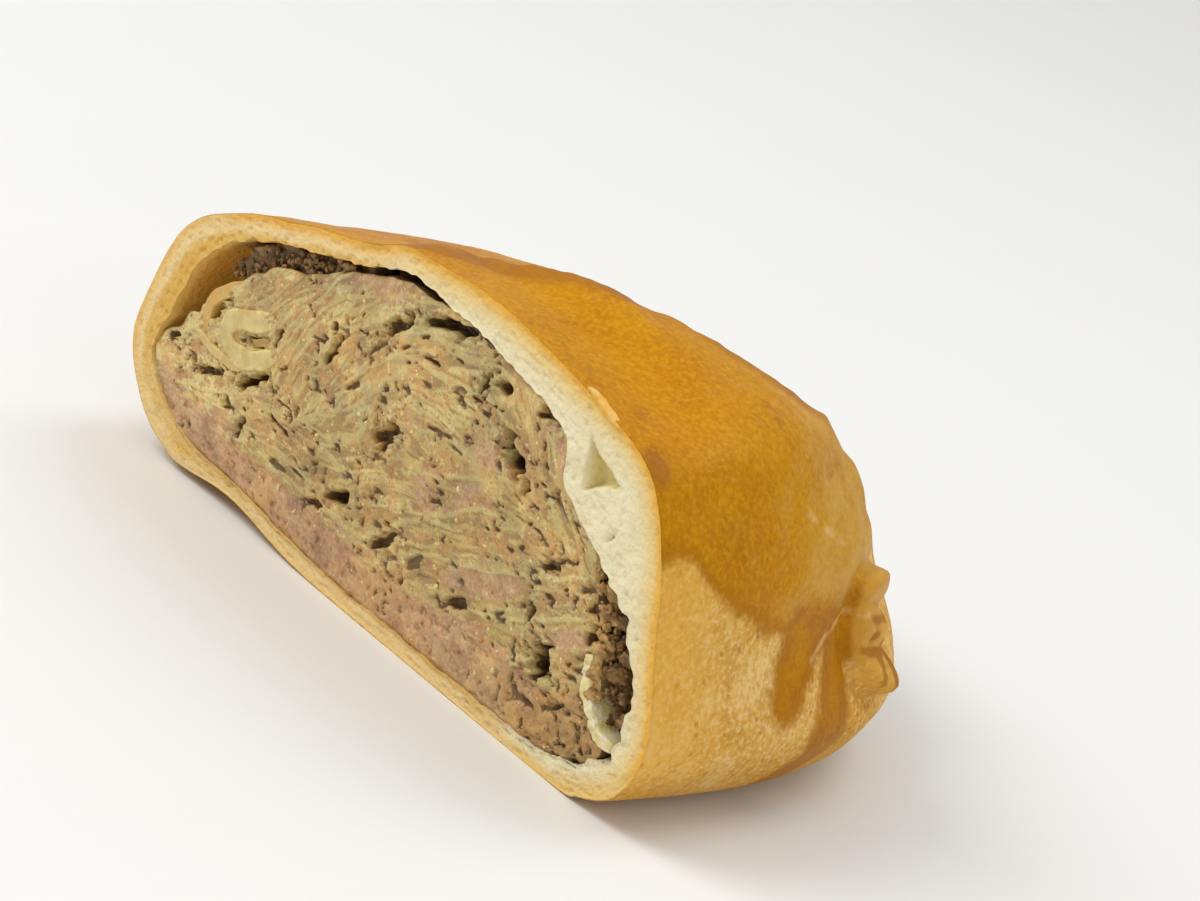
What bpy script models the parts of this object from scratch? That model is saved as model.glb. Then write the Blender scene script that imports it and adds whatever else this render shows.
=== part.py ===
"""Half of a baked oval pasty, standing on its flat base with the cut face to the front.

Frame: metres, +Z up, +X to the right seen from the front, origin on the base plane under the middle
of the whole. The shape is worked out from the cut's foot, the middle of the cut's lower edge, and an
empty then places it. The cut face looks along -Y and the food runs back along +Y. The knife came
down at a slant, so the face overhangs its own foot.
"""

import bmesh
import bpy
import numpy as np

MM = 0.001
GAP = 0.3 * MM

# Driving dimensions
HALF_WIDTH = 61 * MM
DEPTH = 74 * MM
CUT_LEAN = np.tan(np.radians(8.0))

# Outer skin as (distance from the middle, height) in mm, from the centre of the base to the crown:
# on the right of the cut, on the left of it, and along the back
RIGHT_SIDE = [(0, 0), (43, 0), (51, 1.2), (57.4, 5), (61, 13.5), (58.6, 25), (56, 36.5), (50, 46),
              (37, 50), (18, 52.6), (0, 52.6)]
LEFT_SIDE = [(0, 0), (40, 0), (50, 1.8), (57, 6.3), (61.6, 14.5), (58.3, 25), (51.9, 34.6),
             (41.5, 40.6), (26.3, 45.2), (12, 48.5), (0, 52.6)]
BACK_SIDE = [(0, 0), (43, 0), (51.5, 1), (57.8, 4.4), (61.3, 13), (59, 25), (53.6, 34.4), (45.5, 40.6),
             (33, 45.4), (18, 49.8), (0, 52.6)]

# The hollow inside the crust, in the same form
RIGHT_WALL = [(0, 3.6), (38, 3.6), (46, 4.6), (52.5, 7), (56.2, 12.5), (54.2, 24), (43, 32.8),
              (36.4, 37), (33.4, 43.6), (16, 47.4), (0, 49)]
LEFT_WALL = [(0, 3.6), (36, 3.8), (45, 5.4), (52, 9), (56, 14.5), (53, 21), (47.8, 31),
             (39, 37.8), (26, 42.2), (12, 45.6), (0, 49)]
BACK_WALL = [(0, 3.6), (38, 3.6), (46.5, 4.6), (53.4, 7.6), (56.6, 13.5), (55, 24), (49.6, 32.6),
             (42, 38), (30, 43), (16, 46.6), (0, 49)]
BACK_WALL_DEPTH = 68 * MM

# The cooked filling, a little short of the hollow, with the meat layer under it
RIGHT_FILL = [(0, 4.2), (34, 4.2), (41.5, 5.2), (47.4, 8), (49, 13), (48.6, 22), (43, 31), (35.6, 36.4),
              (31.6, 43), (16, 45.4), (0, 46.6)]
LEFT_FILL = [(0, 4.2), (34, 4.4), (43.4, 6), (50.6, 9.8), (54.4, 14.6), (51, 20.2), (45, 27.5),
             (34, 35.6), (24, 39.6), (12, 44.2), (0, 46.6)]
BACK_FILL = [(0, 4.2), (35, 4.2), (44.6, 5.3), (51, 8.4), (54, 13.6), (52, 23), (46, 31), (38, 36),
             (28, 41), (15, 44.4), (0, 46.6)]
BACK_FILL_DEPTH = 65 * MM
FACE_RELIEF = 0.45 * MM
FACE_SET_BACK = 0.6 * MM
MEAT_TOP = 10 * MM
MEAT_WAVE = 1.2 * MM
MEAT_WAVE_LENGTHS = (11 * MM, 5.3 * MM, 9 * MM)

# Plan of the oval, and how far its right back corner is drawn in below the crown
PLAN_POWER = 2.45
CORNER_PINCH = 0.07

# Grid of the crust: steps round the oval from right to left, and from the base to the crown
TURNS = 35
RINGS = 37

# Grid of the filling: the same two, and the steps across its cut face
FILL_TURNS = 21
FILL_RINGS = 31
FILL_COLUMNS = 17

# The seam where the upper dough laps over the lower one, from the cut to the knob at the edge
SEAM_START = np.array([-3 * MM, 0.0])
SEAM_END = np.array([49 * MM, 47 * MM])
SEAM_RISE = 4.6 * MM
SEAM_DROP = 1.8 * MM
SEAM_SOFTNESS = 1.5 * MM
SEAM_REACH = 26 * MM
SCALLOP_STEP = 3.4 * MM
SCALLOP_DEPTH = 0.5 * MM

# Knob of crimped dough at the seam's end
KNOB_ANGLE = np.radians(42)
KNOB_PLACE = np.array([47.4 * MM, 42.8 * MM, 21.2 * MM])
KNOB_LOBE = np.array([4.6 * MM, 6.6 * MM, 3.2 * MM])
KNOB_STEP = np.array([-0.9 * MM, -0.8 * MM, 5.6 * MM])
KNOB_LOBES = 3

# Three-sided air pocket in the thick fold of dough, and its depth
POCKET = [(39.0 * MM, 44.4 * MM), (39.6 * MM, 37.9 * MM), (46.0 * MM, 41.2 * MM)]
POCKET_DEPTH = 5 * MM

# Pale cabbage leaves that stand out of the filling: a curled one at the left, one in the right pocket
CURL_CENTRE = np.array([-33 * MM, 26.6 * MM])
CURL_LENGTH = 8 * MM
CURL_HEIGHT = 4.4 * MM
CURL_SLOPE = np.radians(38)
CURL_MOUTH = np.radians(42)
LEAF_THICK = 1.6 * MM
LEAF_REACH = 7 * MM
POCKET_LEAF = [(49.6 * MM, 9.8 * MM), (51.6 * MM, 12.6 * MM), (51.0 * MM, 16.0 * MM), (49.9 * MM, 19.4 * MM)]


def smooth_step(low, high, value):
    """Rises from 0 at low to 1 at high with level ends."""
    part = np.clip((value - low) / (high - low), 0, 1)
    return part * part * (3 - 2 * part)


def profile(points, count):
    """Catmull-Rom curve through half a closed outline, mirrored at both ends; count points in metres."""
    outline = np.array(points, float) * MM
    mirrored = outline * [-1, 1]
    padded = np.vstack([mirrored[1], outline, mirrored[-2]])
    spans = len(outline) - 1
    along = np.linspace(0, spans, count)
    first = np.minimum(along.astype(int), spans - 1)
    part = (along - first)[:, None]
    a, b, c, d = (padded[first + k] for k in range(4))
    return b + 0.5 * part * (c - a + part * (2 * a - 5 * b + 4 * c - d + part * (3 * (b - c) + d - a)))


def seam_offset(points):
    """Lifts the dough on the near side of the seam and sinks it beyond, with small scallops along it."""
    run = SEAM_END - SEAM_START
    along_dir = run / np.linalg.norm(run)
    across_dir = np.array([along_dir[1], -along_dir[0]])
    flat = points[..., :2] - SEAM_START
    along = flat @ along_dir
    across = flat @ across_dir + SCALLOP_DEPTH * np.sin(2 * np.pi * along / SCALLOP_STEP)
    side = np.tanh(across / SEAM_SOFTNESS)
    lift = SEAM_RISE * (1 + side) / 2 - SEAM_DROP * (1 - side) / 2
    lift = lift * np.exp(-((across / SEAM_REACH) ** 2))
    lift = lift * smooth_step(0, 12 * MM, points[..., 1]) * smooth_step(14 * MM, 34 * MM, points[..., 2])
    radii = np.array([HALF_WIDTH, DEPTH, 40 * MM])
    outward = (points - [0, 0, 14 * MM]) / radii**2
    outward /= np.linalg.norm(outward, axis=-1, keepdims=True) + 1e-9
    return outward * lift[..., None]


def lean(points):
    """Slides the cut face forward with height, less and less towards the back."""
    leaned = points.copy()
    leaned[..., 1] -= CUT_LEAN * points[..., 2] * (1 - points[..., 1] / DEPTH)
    return leaned


def half_dome(sides, depth, turns=TURNS, rings=RINGS, seamed=False):
    """Grid of points over half an oval dome, turns x rings.

    Each turn angle from right (0) to left (pi) takes the squared-cosine mix of the side profiles; the
    plan is the superellipse |x/a|^n + |y/b|^n = 1.
    """
    turn = np.linspace(0, np.pi, turns)[:, None, None]
    right, left, back = (profile(side, rings)[None] for side in sides)
    cos, sin = np.cos(turn), np.sin(turn)
    right_share = np.where(cos > 0, cos**2, 0)
    left_share = np.where(cos < 0, cos**2, 0)
    mixed = right_share * right + left_share * left + (1 - right_share - left_share) * back
    reach = (np.abs(cos) ** PLAN_POWER + np.abs(sin * HALF_WIDTH / depth) ** PLAN_POWER) ** (-1 / PLAN_POWER)
    out, height = mixed[..., :1], np.maximum(mixed[..., 1:], 0)
    belly = smooth_step(10 * MM, 25 * MM, height) * (1 - smooth_step(40 * MM, 50 * MM, height))
    corner = np.where(cos > 0, (2 * sin * cos) ** 2, 0)
    out = out * reach * (1 - CORNER_PINCH * corner * belly)
    points = np.concatenate([out * cos, out * sin, height], -1)
    points[[0, -1], :, 1] = 0
    if seamed:
        points = points + seam_offset(points)
    return lean(points)


def grid_faces(index, flip=False):
    """Quads between neighbouring entries of an index grid, with repeated corners merged away."""
    corners = np.stack([index[:-1, :-1], index[1:, :-1], index[1:, 1:], index[:-1, 1:]], -1)
    faces = []
    for face in corners.reshape(-1, 4).tolist():
        kept = [v for k, v in enumerate(face) if v != face[k - 1]]
        if len(kept) > 2:
            faces.append(kept[::-1] if flip else kept)
    return faces


def new_object(name, points, faces, material):
    """Makes a mesh object from points in metres, merges doubles and sets its faces outward."""
    mesh = bpy.data.meshes.new(name)
    mesh.from_pydata(np.asarray(points).reshape(-1, 3).tolist(), [], faces)
    work = bmesh.new()
    work.from_mesh(mesh)
    bmesh.ops.remove_doubles(work, verts=work.verts, dist=0.02 * MM)
    bmesh.ops.recalc_face_normals(work, faces=work.faces)
    work.to_mesh(mesh)
    work.free()
    mesh.materials.append(material)
    mesh.shade_smooth()
    mesh.set_sharp_from_angle(angle=np.radians(40))
    made = bpy.data.objects.new(name, mesh)
    made.parent = bpy.data.objects["cut_foot"]
    bpy.context.scene.collection.objects.link(made)
    return made


def cutter(name, points, faces):
    """A hidden helper for a Boolean."""
    helper = new_object(name, points, faces, None)
    helper.hide_render = True
    helper.display_type = "WIRE"
    return helper


def boolean(target, helper, operation):
    """Adds an exact Boolean that joins or cuts target with helper."""
    step = target.modifiers.new(helper.name, "BOOLEAN")
    step.operation = operation
    step.solver = "EXACT"
    step.object = helper


def finish(name, colour, roughness):
    """Principled material of one colour."""
    material = bpy.data.materials.new(name)
    material.use_nodes = True
    shader = material.node_tree.nodes["Principled BSDF"]
    shader.inputs["Base Color"].default_value = (*colour, 1)
    shader.inputs["Roughness"].default_value = roughness
    return material


def outer_skin():
    """The outside of the crust with its seam."""
    return half_dome((RIGHT_SIDE, LEFT_SIDE, BACK_SIDE), DEPTH, seamed=True)


def shell(name, material):
    """Crust: outer skin, inner wall and the strip of crumb between them at the cut."""
    outer = outer_skin()
    inner = half_dome((RIGHT_WALL, LEFT_WALL, BACK_WALL), BACK_WALL_DEPTH)
    points = np.concatenate([outer.reshape(-1, 3), inner.reshape(-1, 3)])
    outer_index = np.arange(TURNS * RINGS).reshape(TURNS, RINGS)
    inner_index = outer_index + TURNS * RINGS
    faces = grid_faces(outer_index) + grid_faces(inner_index, flip=True)
    for edge in (0, -1):
        rim = np.stack([outer_index[edge], inner_index[edge]])
        faces += grid_faces(rim, flip=edge == 0)
    return new_object(name, points, faces, material)


def filling_body(name, material):
    """The filling as one closed body, before the meat layer is parted from it."""
    dome = half_dome((RIGHT_FILL, LEFT_FILL, BACK_FILL), BACK_FILL_DEPTH, FILL_TURNS, FILL_RINGS)
    share = np.linspace(0, 1, FILL_COLUMNS)[:, None, None]
    face = dome[0] * (1 - share) + dome[-1] * share
    inside = np.sin(np.pi * share[..., 0]) * np.sin(np.linspace(0, np.pi, FILL_RINGS))
    x, z = face[..., 0], face[..., 2]
    uneven = np.sin(x / (5.1 * MM) + 1.3 * np.sin(z / (7.3 * MM))) + np.sin(z / (4.3 * MM))
    face[..., 1] += FACE_RELIEF * inside * uneven + FACE_SET_BACK * np.minimum(4 * inside, 1)
    points = np.concatenate([dome.reshape(-1, 3), face.reshape(-1, 3)])
    dome_index = np.arange(FILL_TURNS * FILL_RINGS).reshape(FILL_TURNS, FILL_RINGS)
    face_index = np.arange(FILL_COLUMNS * FILL_RINGS).reshape(FILL_COLUMNS, FILL_RINGS) + dome_index.size
    faces = grid_faces(dome_index) + grid_faces(face_index, flip=True)
    return new_object(name, points, faces, material)


def wavy_slab(name, height, below):
    """Slab whose face follows the meat layer's top: height + wave, reaching far above or far below."""
    across = np.linspace(-80 * MM, 80 * MM, 33)
    deep = np.linspace(-30 * MM, 90 * MM, 13)
    x, y = np.meshgrid(across, deep, indexing="ij")
    long_x, short_x, short_y = MEAT_WAVE_LENGTHS
    wave = height + MEAT_WAVE * (np.sin(x / long_x) + 0.5 * np.sin(x / short_x + y / short_y))
    far = np.full_like(x, -40 * MM if below else 90 * MM)
    near_layer = np.stack([x, y, wave], -1)
    far_layer = np.stack([x, y, far], -1)
    points = np.concatenate([near_layer.reshape(-1, 3), far_layer.reshape(-1, 3)])
    near_index = np.arange(x.size).reshape(x.shape)
    far_index = near_index + x.size
    faces = grid_faces(near_index) + grid_faces(far_index, flip=True)
    for near_rim, far_rim in zip(rim_lines(near_index), rim_lines(far_index)):
        faces += grid_faces(np.stack([near_rim, far_rim]))
    return cutter(name, points, faces)


def rim_lines(index):
    """The four edges of an index grid."""
    return index[0], index[-1], index[:, 0], index[:, -1]


def knob_lobe(name, place):
    """One soft lobe of crimped dough, longest along the seam's end tangent."""
    work = bmesh.new()
    bmesh.ops.create_uvsphere(work, u_segments=12, v_segments=8, radius=1)
    outward = np.array([np.cos(KNOB_ANGLE), np.sin(KNOB_ANGLE), 0])
    tangent = np.array([-np.sin(KNOB_ANGLE), np.cos(KNOB_ANGLE), 0])
    for vertex in work.verts:
        unit = np.array(vertex.co)
        vertex.co = place + unit[0] * KNOB_LOBE[0] * outward + unit[1] * KNOB_LOBE[1] * tangent + [
            0, 0, unit[2] * KNOB_LOBE[2]]
    points = [vertex.co[:] for vertex in work.verts]
    faces = [[vertex.index for vertex in face.verts] for face in work.faces]
    work.free()
    return cutter(name, points, faces)


def crust(material):
    """The pastry case with its knob joined on and its air pocket cut out."""
    case = shell("crust", material)
    for number in range(KNOB_LOBES):
        level = KNOB_PLACE + (number - 1) * KNOB_STEP
        boolean(case, knob_lobe(f"knob_lobe_{number}", level), "UNION")
    front = [(x, -CUT_LEAN * z - 4 * MM, z) for x, z in POCKET]
    rear = [(x, -CUT_LEAN * z + POCKET_DEPTH, z) for x, z in POCKET]
    sides = [[k, (k + 1) % 3, 3 + (k + 1) % 3, 3 + k] for k in range(3)]
    boolean(case, cutter("pocket_cutter", front + rear, [[2, 1, 0], [3, 4, 5]] + sides), "DIFFERENCE")
    return case


def leaf_strip(name, middle, thick, face_y, reach, material):
    """A leaf standing on edge: a strip of even thickness along a line in the cut face, reach deep."""
    tangent = np.gradient(middle, axis=0)
    tangent /= np.linalg.norm(tangent, axis=1, keepdims=True)
    normal = np.stack([-tangent[:, 1], tangent[:, 0]], 1) * thick / 2
    ring = np.concatenate([middle + normal, (middle - normal)[::-1]])
    count = len(ring)
    front = np.stack([ring[:, 0], face_y - CUT_LEAN * ring[:, 1], ring[:, 1]], 1)
    rear = front + [0, reach, 0]
    half = count // 2
    faces = []
    for k in range(half - 1):
        quad = [k, k + 1, count - 2 - k, count - 1 - k]
        faces.append(quad)
        faces.append([v + count for v in reversed(quad)])
    faces += [[k, (k + 1) % count, count + (k + 1) % count, count + k] for k in range(count)]
    return new_object(name, np.concatenate([front, rear]), faces, material)


def curl_line(count):
    """Curl in the cut face: an ellipse with its long axis on a slope, open at its upper right end."""
    angle = np.linspace(CURL_MOUTH, 2 * np.pi - CURL_MOUTH, count)
    along, across = CURL_LENGTH * np.cos(angle), CURL_HEIGHT * np.sin(angle)
    cos, sin = np.cos(CURL_SLOPE), np.sin(CURL_SLOPE)
    return CURL_CENTRE + np.stack([along * cos - across * sin, along * sin + across * cos], 1)


def clear_past():
    """Empties the file's scene."""
    for old in list(bpy.data.objects):
        bpy.data.objects.remove(old)


def place_foot():
    """An empty at the cut's foot, set so that the whole's middle stands over the origin."""
    skin = outer_skin().reshape(-1, 3)
    middle = (skin.min(axis=0) + skin.max(axis=0)) / 2
    foot = bpy.data.objects.new("cut_foot", None)
    foot.location = (-middle[0], -middle[1], 0)
    bpy.context.scene.collection.objects.link(foot)
    bpy.context.view_layer.update()


def main():
    clear_past()
    place_foot()
    crust_finish = finish("baked_crust", (0.60, 0.33, 0.10), 0.4)
    filling_finish = finish("cabbage_filling", (0.33, 0.27, 0.13), 0.6)
    meat_finish = finish("pink_meat", (0.45, 0.28, 0.20), 0.55)
    leaf_finish = finish("pale_leaf", (0.62, 0.55, 0.30), 0.45)
    crust(crust_finish)
    filling = filling_body("filling", filling_finish)
    meat = filling_body("bottom_meat", meat_finish)
    boolean(filling, wavy_slab("below_filling", MEAT_TOP + GAP / 2, True), "DIFFERENCE")
    boolean(meat, wavy_slab("above_meat", MEAT_TOP - GAP / 2, False), "DIFFERENCE")
    curl = curl_line(15)
    socket = leaf_strip("curl_socket", curl, LEAF_THICK + 2 * GAP, -3 * MM, LEAF_REACH + 3 * MM + GAP, None)
    socket.hide_render = True
    socket.display_type = "WIRE"
    boolean(filling, socket, "DIFFERENCE")
    leaf_strip("leaf_curl", curl, LEAF_THICK, 0, LEAF_REACH, leaf_finish)
    leaf_strip("leaf_strip", np.array(POCKET_LEAF), LEAF_THICK, 0.5 * MM, LEAF_REACH, leaf_finish)


main()
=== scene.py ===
"""Looks of half a cut pasty: glazed crust, torn crumb, folded cabbage and meat, and a pale stage.

Metres, +Z up; the cut looks along -Y. Shapes are worked out from the cut's foot, the middle of the cut's
lower edge, and moved to where the frame has it at the very end. Outlines are lists in millimetres.
"""

import bpy
import numpy as np
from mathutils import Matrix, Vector


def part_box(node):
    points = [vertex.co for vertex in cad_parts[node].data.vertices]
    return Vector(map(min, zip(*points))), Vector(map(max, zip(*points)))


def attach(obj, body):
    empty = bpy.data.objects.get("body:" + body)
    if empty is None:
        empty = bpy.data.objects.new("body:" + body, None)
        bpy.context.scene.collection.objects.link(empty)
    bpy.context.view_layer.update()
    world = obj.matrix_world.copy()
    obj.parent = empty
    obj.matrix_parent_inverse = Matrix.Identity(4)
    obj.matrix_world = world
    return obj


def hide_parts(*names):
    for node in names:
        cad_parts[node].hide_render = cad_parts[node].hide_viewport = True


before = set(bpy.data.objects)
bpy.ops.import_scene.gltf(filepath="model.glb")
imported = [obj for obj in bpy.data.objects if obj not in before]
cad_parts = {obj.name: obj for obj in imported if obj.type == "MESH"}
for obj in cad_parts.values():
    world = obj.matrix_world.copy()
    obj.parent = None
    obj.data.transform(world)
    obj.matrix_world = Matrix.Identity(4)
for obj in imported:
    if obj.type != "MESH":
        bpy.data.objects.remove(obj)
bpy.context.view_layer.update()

bl_info = {
    "name": "Cut pasty",
    "version": (1, 0, 0),
    "blender": (4, 5, 0),
    "location": "View3D > Sidebar > Pasty",
    "description": "Builds the crust, filling and stage of half a cut pasty",
    "category": "Object",
}

MM = 0.001
CRUST_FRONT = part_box("crust")[0][1]

# Plan and lean of the half, as its solids have them
HALF_WIDTH = 61 * MM
DEPTH = 74 * MM
WALL_DEPTH = 68 * MM
FILL_DEPTH = 65 * MM
LEAN = np.tan(np.radians(8.0))
CUT_TOP = 52.8 * MM
PLAN_POWER = 2.45
CORNER_PINCH = 0.07
FOOT = np.array([0.3 * MM, CRUST_FRONT + LEAN * CUT_TOP, 0.0])
# Oval round the half, whose gradient is taken as the way out
OVAL_CENTRE = np.array([0, 0, 14 * MM])
OVAL_RADII = np.array([HALF_WIDTH, DEPTH, 40 * MM])
# Dent in the base, and the share of it that reaches the wall and the filling
BASE_DENT = 2.3 * MM
WALL_DENT = 0.55
FILL_DENT = 0.7
# How far the filling's outline lies behind the cut, and the depth in millimetres that its back counts as
RECESS = 0.8 * MM
# The looks paint that depth with the pits' near-black shade
BACK_MARK = 3.0
# Millimetres past every distance that the crust's look reads
FAR_OFF = 9.0
# Grid lines: samples along an outline to measure it, rings of the crust up to the foot of its side, and
# turns of the wall and of a body inside it
OUTLINE_SAMPLES = 1601
BASE_RINGS = 100
WALL_TURNS = 36
FILL_TURNS = 16

# Side outlines (distance from the middle, height), from the centre of the base to the crown
RIGHT_SIDE = [(0, 0), (43, 0), (51, 1.2), (57.4, 5), (61, 13.5), (58.6, 25), (56, 36.5), (50, 46),
              (37, 50), (18, 52.6), (0, 52.6)]
LEFT_SIDE = [(0, 0), (40, 0), (50, 1.8), (57, 6.3), (61.6, 14.5), (58.3, 25), (51.9, 34.6),
             (41.5, 40.6), (26.3, 45.2), (12, 48.5), (0, 52.6)]
BACK_SIDE = [(0, 0), (43, 0), (51.5, 1), (57.8, 4.4), (61.3, 13), (59, 25), (53.6, 34.4), (45.5, 40.6),
             (33, 45.4), (18, 49.8), (0, 52.6)]
RIGHT_WALL = [(0, 2.4), (38, 2.6), (46, 4), (52.5, 7), (56.2, 12.5), (54.2, 24), (43, 32.8),
              (36.4, 37), (33.4, 43.6), (16, 47.4), (0, 49)]
LEFT_WALL = [(0, 2.4), (36, 3.6), (45, 5.4), (52, 9), (56, 14.5), (53, 21), (47.8, 31),
             (39, 37.8), (26, 42.2), (12, 45.6), (0, 49)]
BACK_WALL = [(0, 2.4), (38, 2.8), (46.5, 4.6), (53.4, 7.6), (56.6, 13.5), (55, 24), (49.6, 32.6),
             (42, 38), (30, 43), (16, 46.6), (0, 49)]
RIGHT_FILL = [(0, 8.4), (30, 8.6), (42, 9), (47.8, 9.8), (49, 13.5), (48.6, 22), (43.4, 31.5),
              (36.6, 36.9), (33.4, 43.6), (16, 47.3), (0, 47.6)]
LEFT_FILL = [(0, 8.4), (30, 9), (44, 9.8), (53, 11.4), (56.2, 14.8), (52, 20.2), (45, 27.5),
             (34, 35.6), (24, 39.6), (12, 44.2), (0, 47.6)]
BACK_FILL = [(0, 8.4), (30, 8.6), (44, 9), (52.6, 10), (54, 13.6), (52, 23), (46, 31), (38, 36),
             (28, 41), (15, 44.8), (0, 47.6)]
RIGHT_MEAT = [(0, 2.1), (34, 2.1), (42, 2.6), (50, 5.2), (52.4, 8.2), (48, 10.6), (38, 9.8), (0, 9.4)]
LEFT_MEAT = [(0, 2.1), (34, 3.2), (45, 5.2), (52.6, 9.2), (54.8, 12.0), (52, 12.8), (40, 10.8), (0, 9.4)]
BACK_MEAT = [(0, 2.1), (35, 2.6), (45, 4.6), (52, 8), (53.6, 9.6), (50, 10.4), (40, 9.8), (0, 9.4)]

# Seam over the top, and the knob of pinched dough at its end
SEAM_START = np.array([-3 * MM, 0.0])
SEAM_END = np.array([49 * MM, 47 * MM])
SEAM_RISE = 4.6 * MM
SEAM_DROP = 1.8 * MM
SEAM_SOFTNESS = 1.0 * MM
SEAM_REACH = 26 * MM
LOBE_STEP = 6.4 * MM
PLEAT_STEP = 2.5 * MM
KNOB_ANGLE = np.radians(42)
KNOB_WIDE = 7.6 * MM
KNOB_GROOVES = [14.0 * MM, 20.8 * MM, 25.2 * MM, 30.4 * MM]
KNOB_SWELL = 2.8 * MM

# Air pocket in the thick fold of dough, at the cut, its corners counterclockwise
POCKET = [(39.0, 44.4), (39.6, 37.9), (46.0, 41.2)]
POCKET_DEPTH = 2.6 * MM
# Crack in that fold: place, half length and half width, angle in degrees; and its depth
CRACK = ((46.3, 34.6), 1.3, 0.3, 50)
CRACK_DEPTH = 0.7 * MM

# Lower edge of the glaze round the side: angle from +X in degrees, height
GLAZE_EDGE = [(-6, 36.4), (0.4, 36.4), (2.4, 34.0), (6.3, 31.2), (11.6, 28.8), (16, 26.8), (19, 25.6),
              (24, 24.6), (29, 26.4), (34, 27.6), (40, 27.2), (47, 22.0), (53, 24.6), (60, 27.5), (68, 23),
              (77, 27), (88, 22), (97, 26.5), (109, 25), (120, 21), (128, 25.5), (141, 23), (152, 27),
              (163, 21.5), (172, 25), (186, 28)]
# Where glaze ran down: half width at the top and the end, then angle and height along the run
DRIPS = [(6.0, 2.6, [(25.0, 25), (23.6, 21.5), (21.2, 17.2)]),
         (4.2, 2.4, [(33.4, 27), (33.0, 21), (31.6, 14), (29.4, 8), (27, 4.6)]),
         (2.2, 1.4, [(88, 24), (89, 17), (88, 13)]), (2.6, 1.2, [(120, 23), (118, 15)]),
         (2.0, 1.5, [(163, 23), (161, 17), (162, 14)])]
# Radius in millimetres at which angles round the side become lengths
SIDE_RADIUS = 60
# Fine pale creases in the glaze, as angle and height
CREASES = [[(27.2, 21.8), (30.4, 24.6), (33.4, 26.8), (36.4, 27.2)],
           [(24.6, 40.2), (28.8, 38), (31.6, 36)]]
# Dark spots baked into the glaze: centre and radii
FRECKLE = ((50.2, -4.9, 45.9), (2.6, 1.7, 2.2))
PIT = ((58.7, 25, 17.1), (1.4, 1.4, 1.4))

# Which way the folds run over the face: place across and up, and angle in degrees
GRAIN = np.array([
    (-50, 17, 24), (-40, 19, 22), (-46, 11, 10), (-36, 14, 26), (-30, 22, 36), (-46, 27, 62), (-41, 33, 30),
    (-33, 36, 38), (-25, 33, 62), (-24, 25, 82), (-26, 40, 26), (-19, 39, 44), (-15, 33, 60), (-10, 28, 52),
    (-12, 43, 24), (-5, 38, 40), (3, 37, 30), (11, 37, 0), (0, 45, 10), (11, 44, 12), (18, 42, 64),
    (24, 41, -20), (27, 39, -56), (33, 40, -62), (20, 31, -24), (11, 31, 8), (5, 29, -46), (-1, 26, 62),
    (-5, 20, 10), (-15, 17, -8), (-22, 18, -10), (-24, 12, 4), (-10, 12, 22), (0, 13, 42), (6, 17, 32),
    (15, 20, 32), (24, 25, 22), (34, 27, 20), (40, 23, 30), (31, 18, 26), (20, 13, 22), (30, 12, 6),
    (46, 30, -52), (47, 23, 36), (42, 12, 36), (46, 8, 22), (33, 8, 4), (20, 8, 0), (0, 8, 0), (-20, 8, 0),
    (-40, 7, -2), (38, 33, -46), (-17, 25, 70), (5, 23, -20), (12, 26, 20)], float)
GRAIN_REACH = 5.5

# Long folds that lead the eye, as points across and up the face
MAIN_FOLDS = [
    [(-25, 15), (-26, 22), (-22, 31), (-17, 38), (-8, 43)],
    [(-18, 24), (-17, 31), (-12, 36), (-5, 41), (3, 43)],
    [(-13, 24), (-9, 31), (-2, 37), (8, 39), (16, 37)],
    [(-21, 21), (-14, 20), (-7, 23), (-4, 29)],
    [(3, 22), (4, 27), (8, 31), (16, 32), (24, 29), (34, 28)],
    [(8, 25), (18, 29), (27, 33)],
    [(5, 16), (14, 22), (24, 27), (37, 26)],
    [(8, 14), (20, 18), (34, 23), (44, 28)],
    [(14, 12), (26, 14), (38, 19), (45, 23)],
    [(21, 45), (27, 41), (31, 36), (37, 31), (44, 27)],
    [(27, 44), (33, 40), (36, 35), (41, 31)],
    [(3, 44.2), (10, 43), (18, 44.6)],
    [(-52, 15), (-44, 18), (-36, 19)],
    [(-50, 12), (-40, 15), (-33, 18)],
    [(-30, 11), (-15, 11), (0, 11.5), (10, 14)],
    [(33, 21), (40, 24), (46, 26)],
    [(18.6, 42), (20.4, 45), (23.6, 44.4), (23, 41.8), (20, 41)],
    [(27.6, 43), (30, 45.6), (33.6, 44.8), (33, 42)],
    [(-1, 30), (4, 33), (10, 34), (17, 33)],
    [(-6, 26), (-2, 32), (5, 35.5), (12, 35.6)]]

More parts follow.
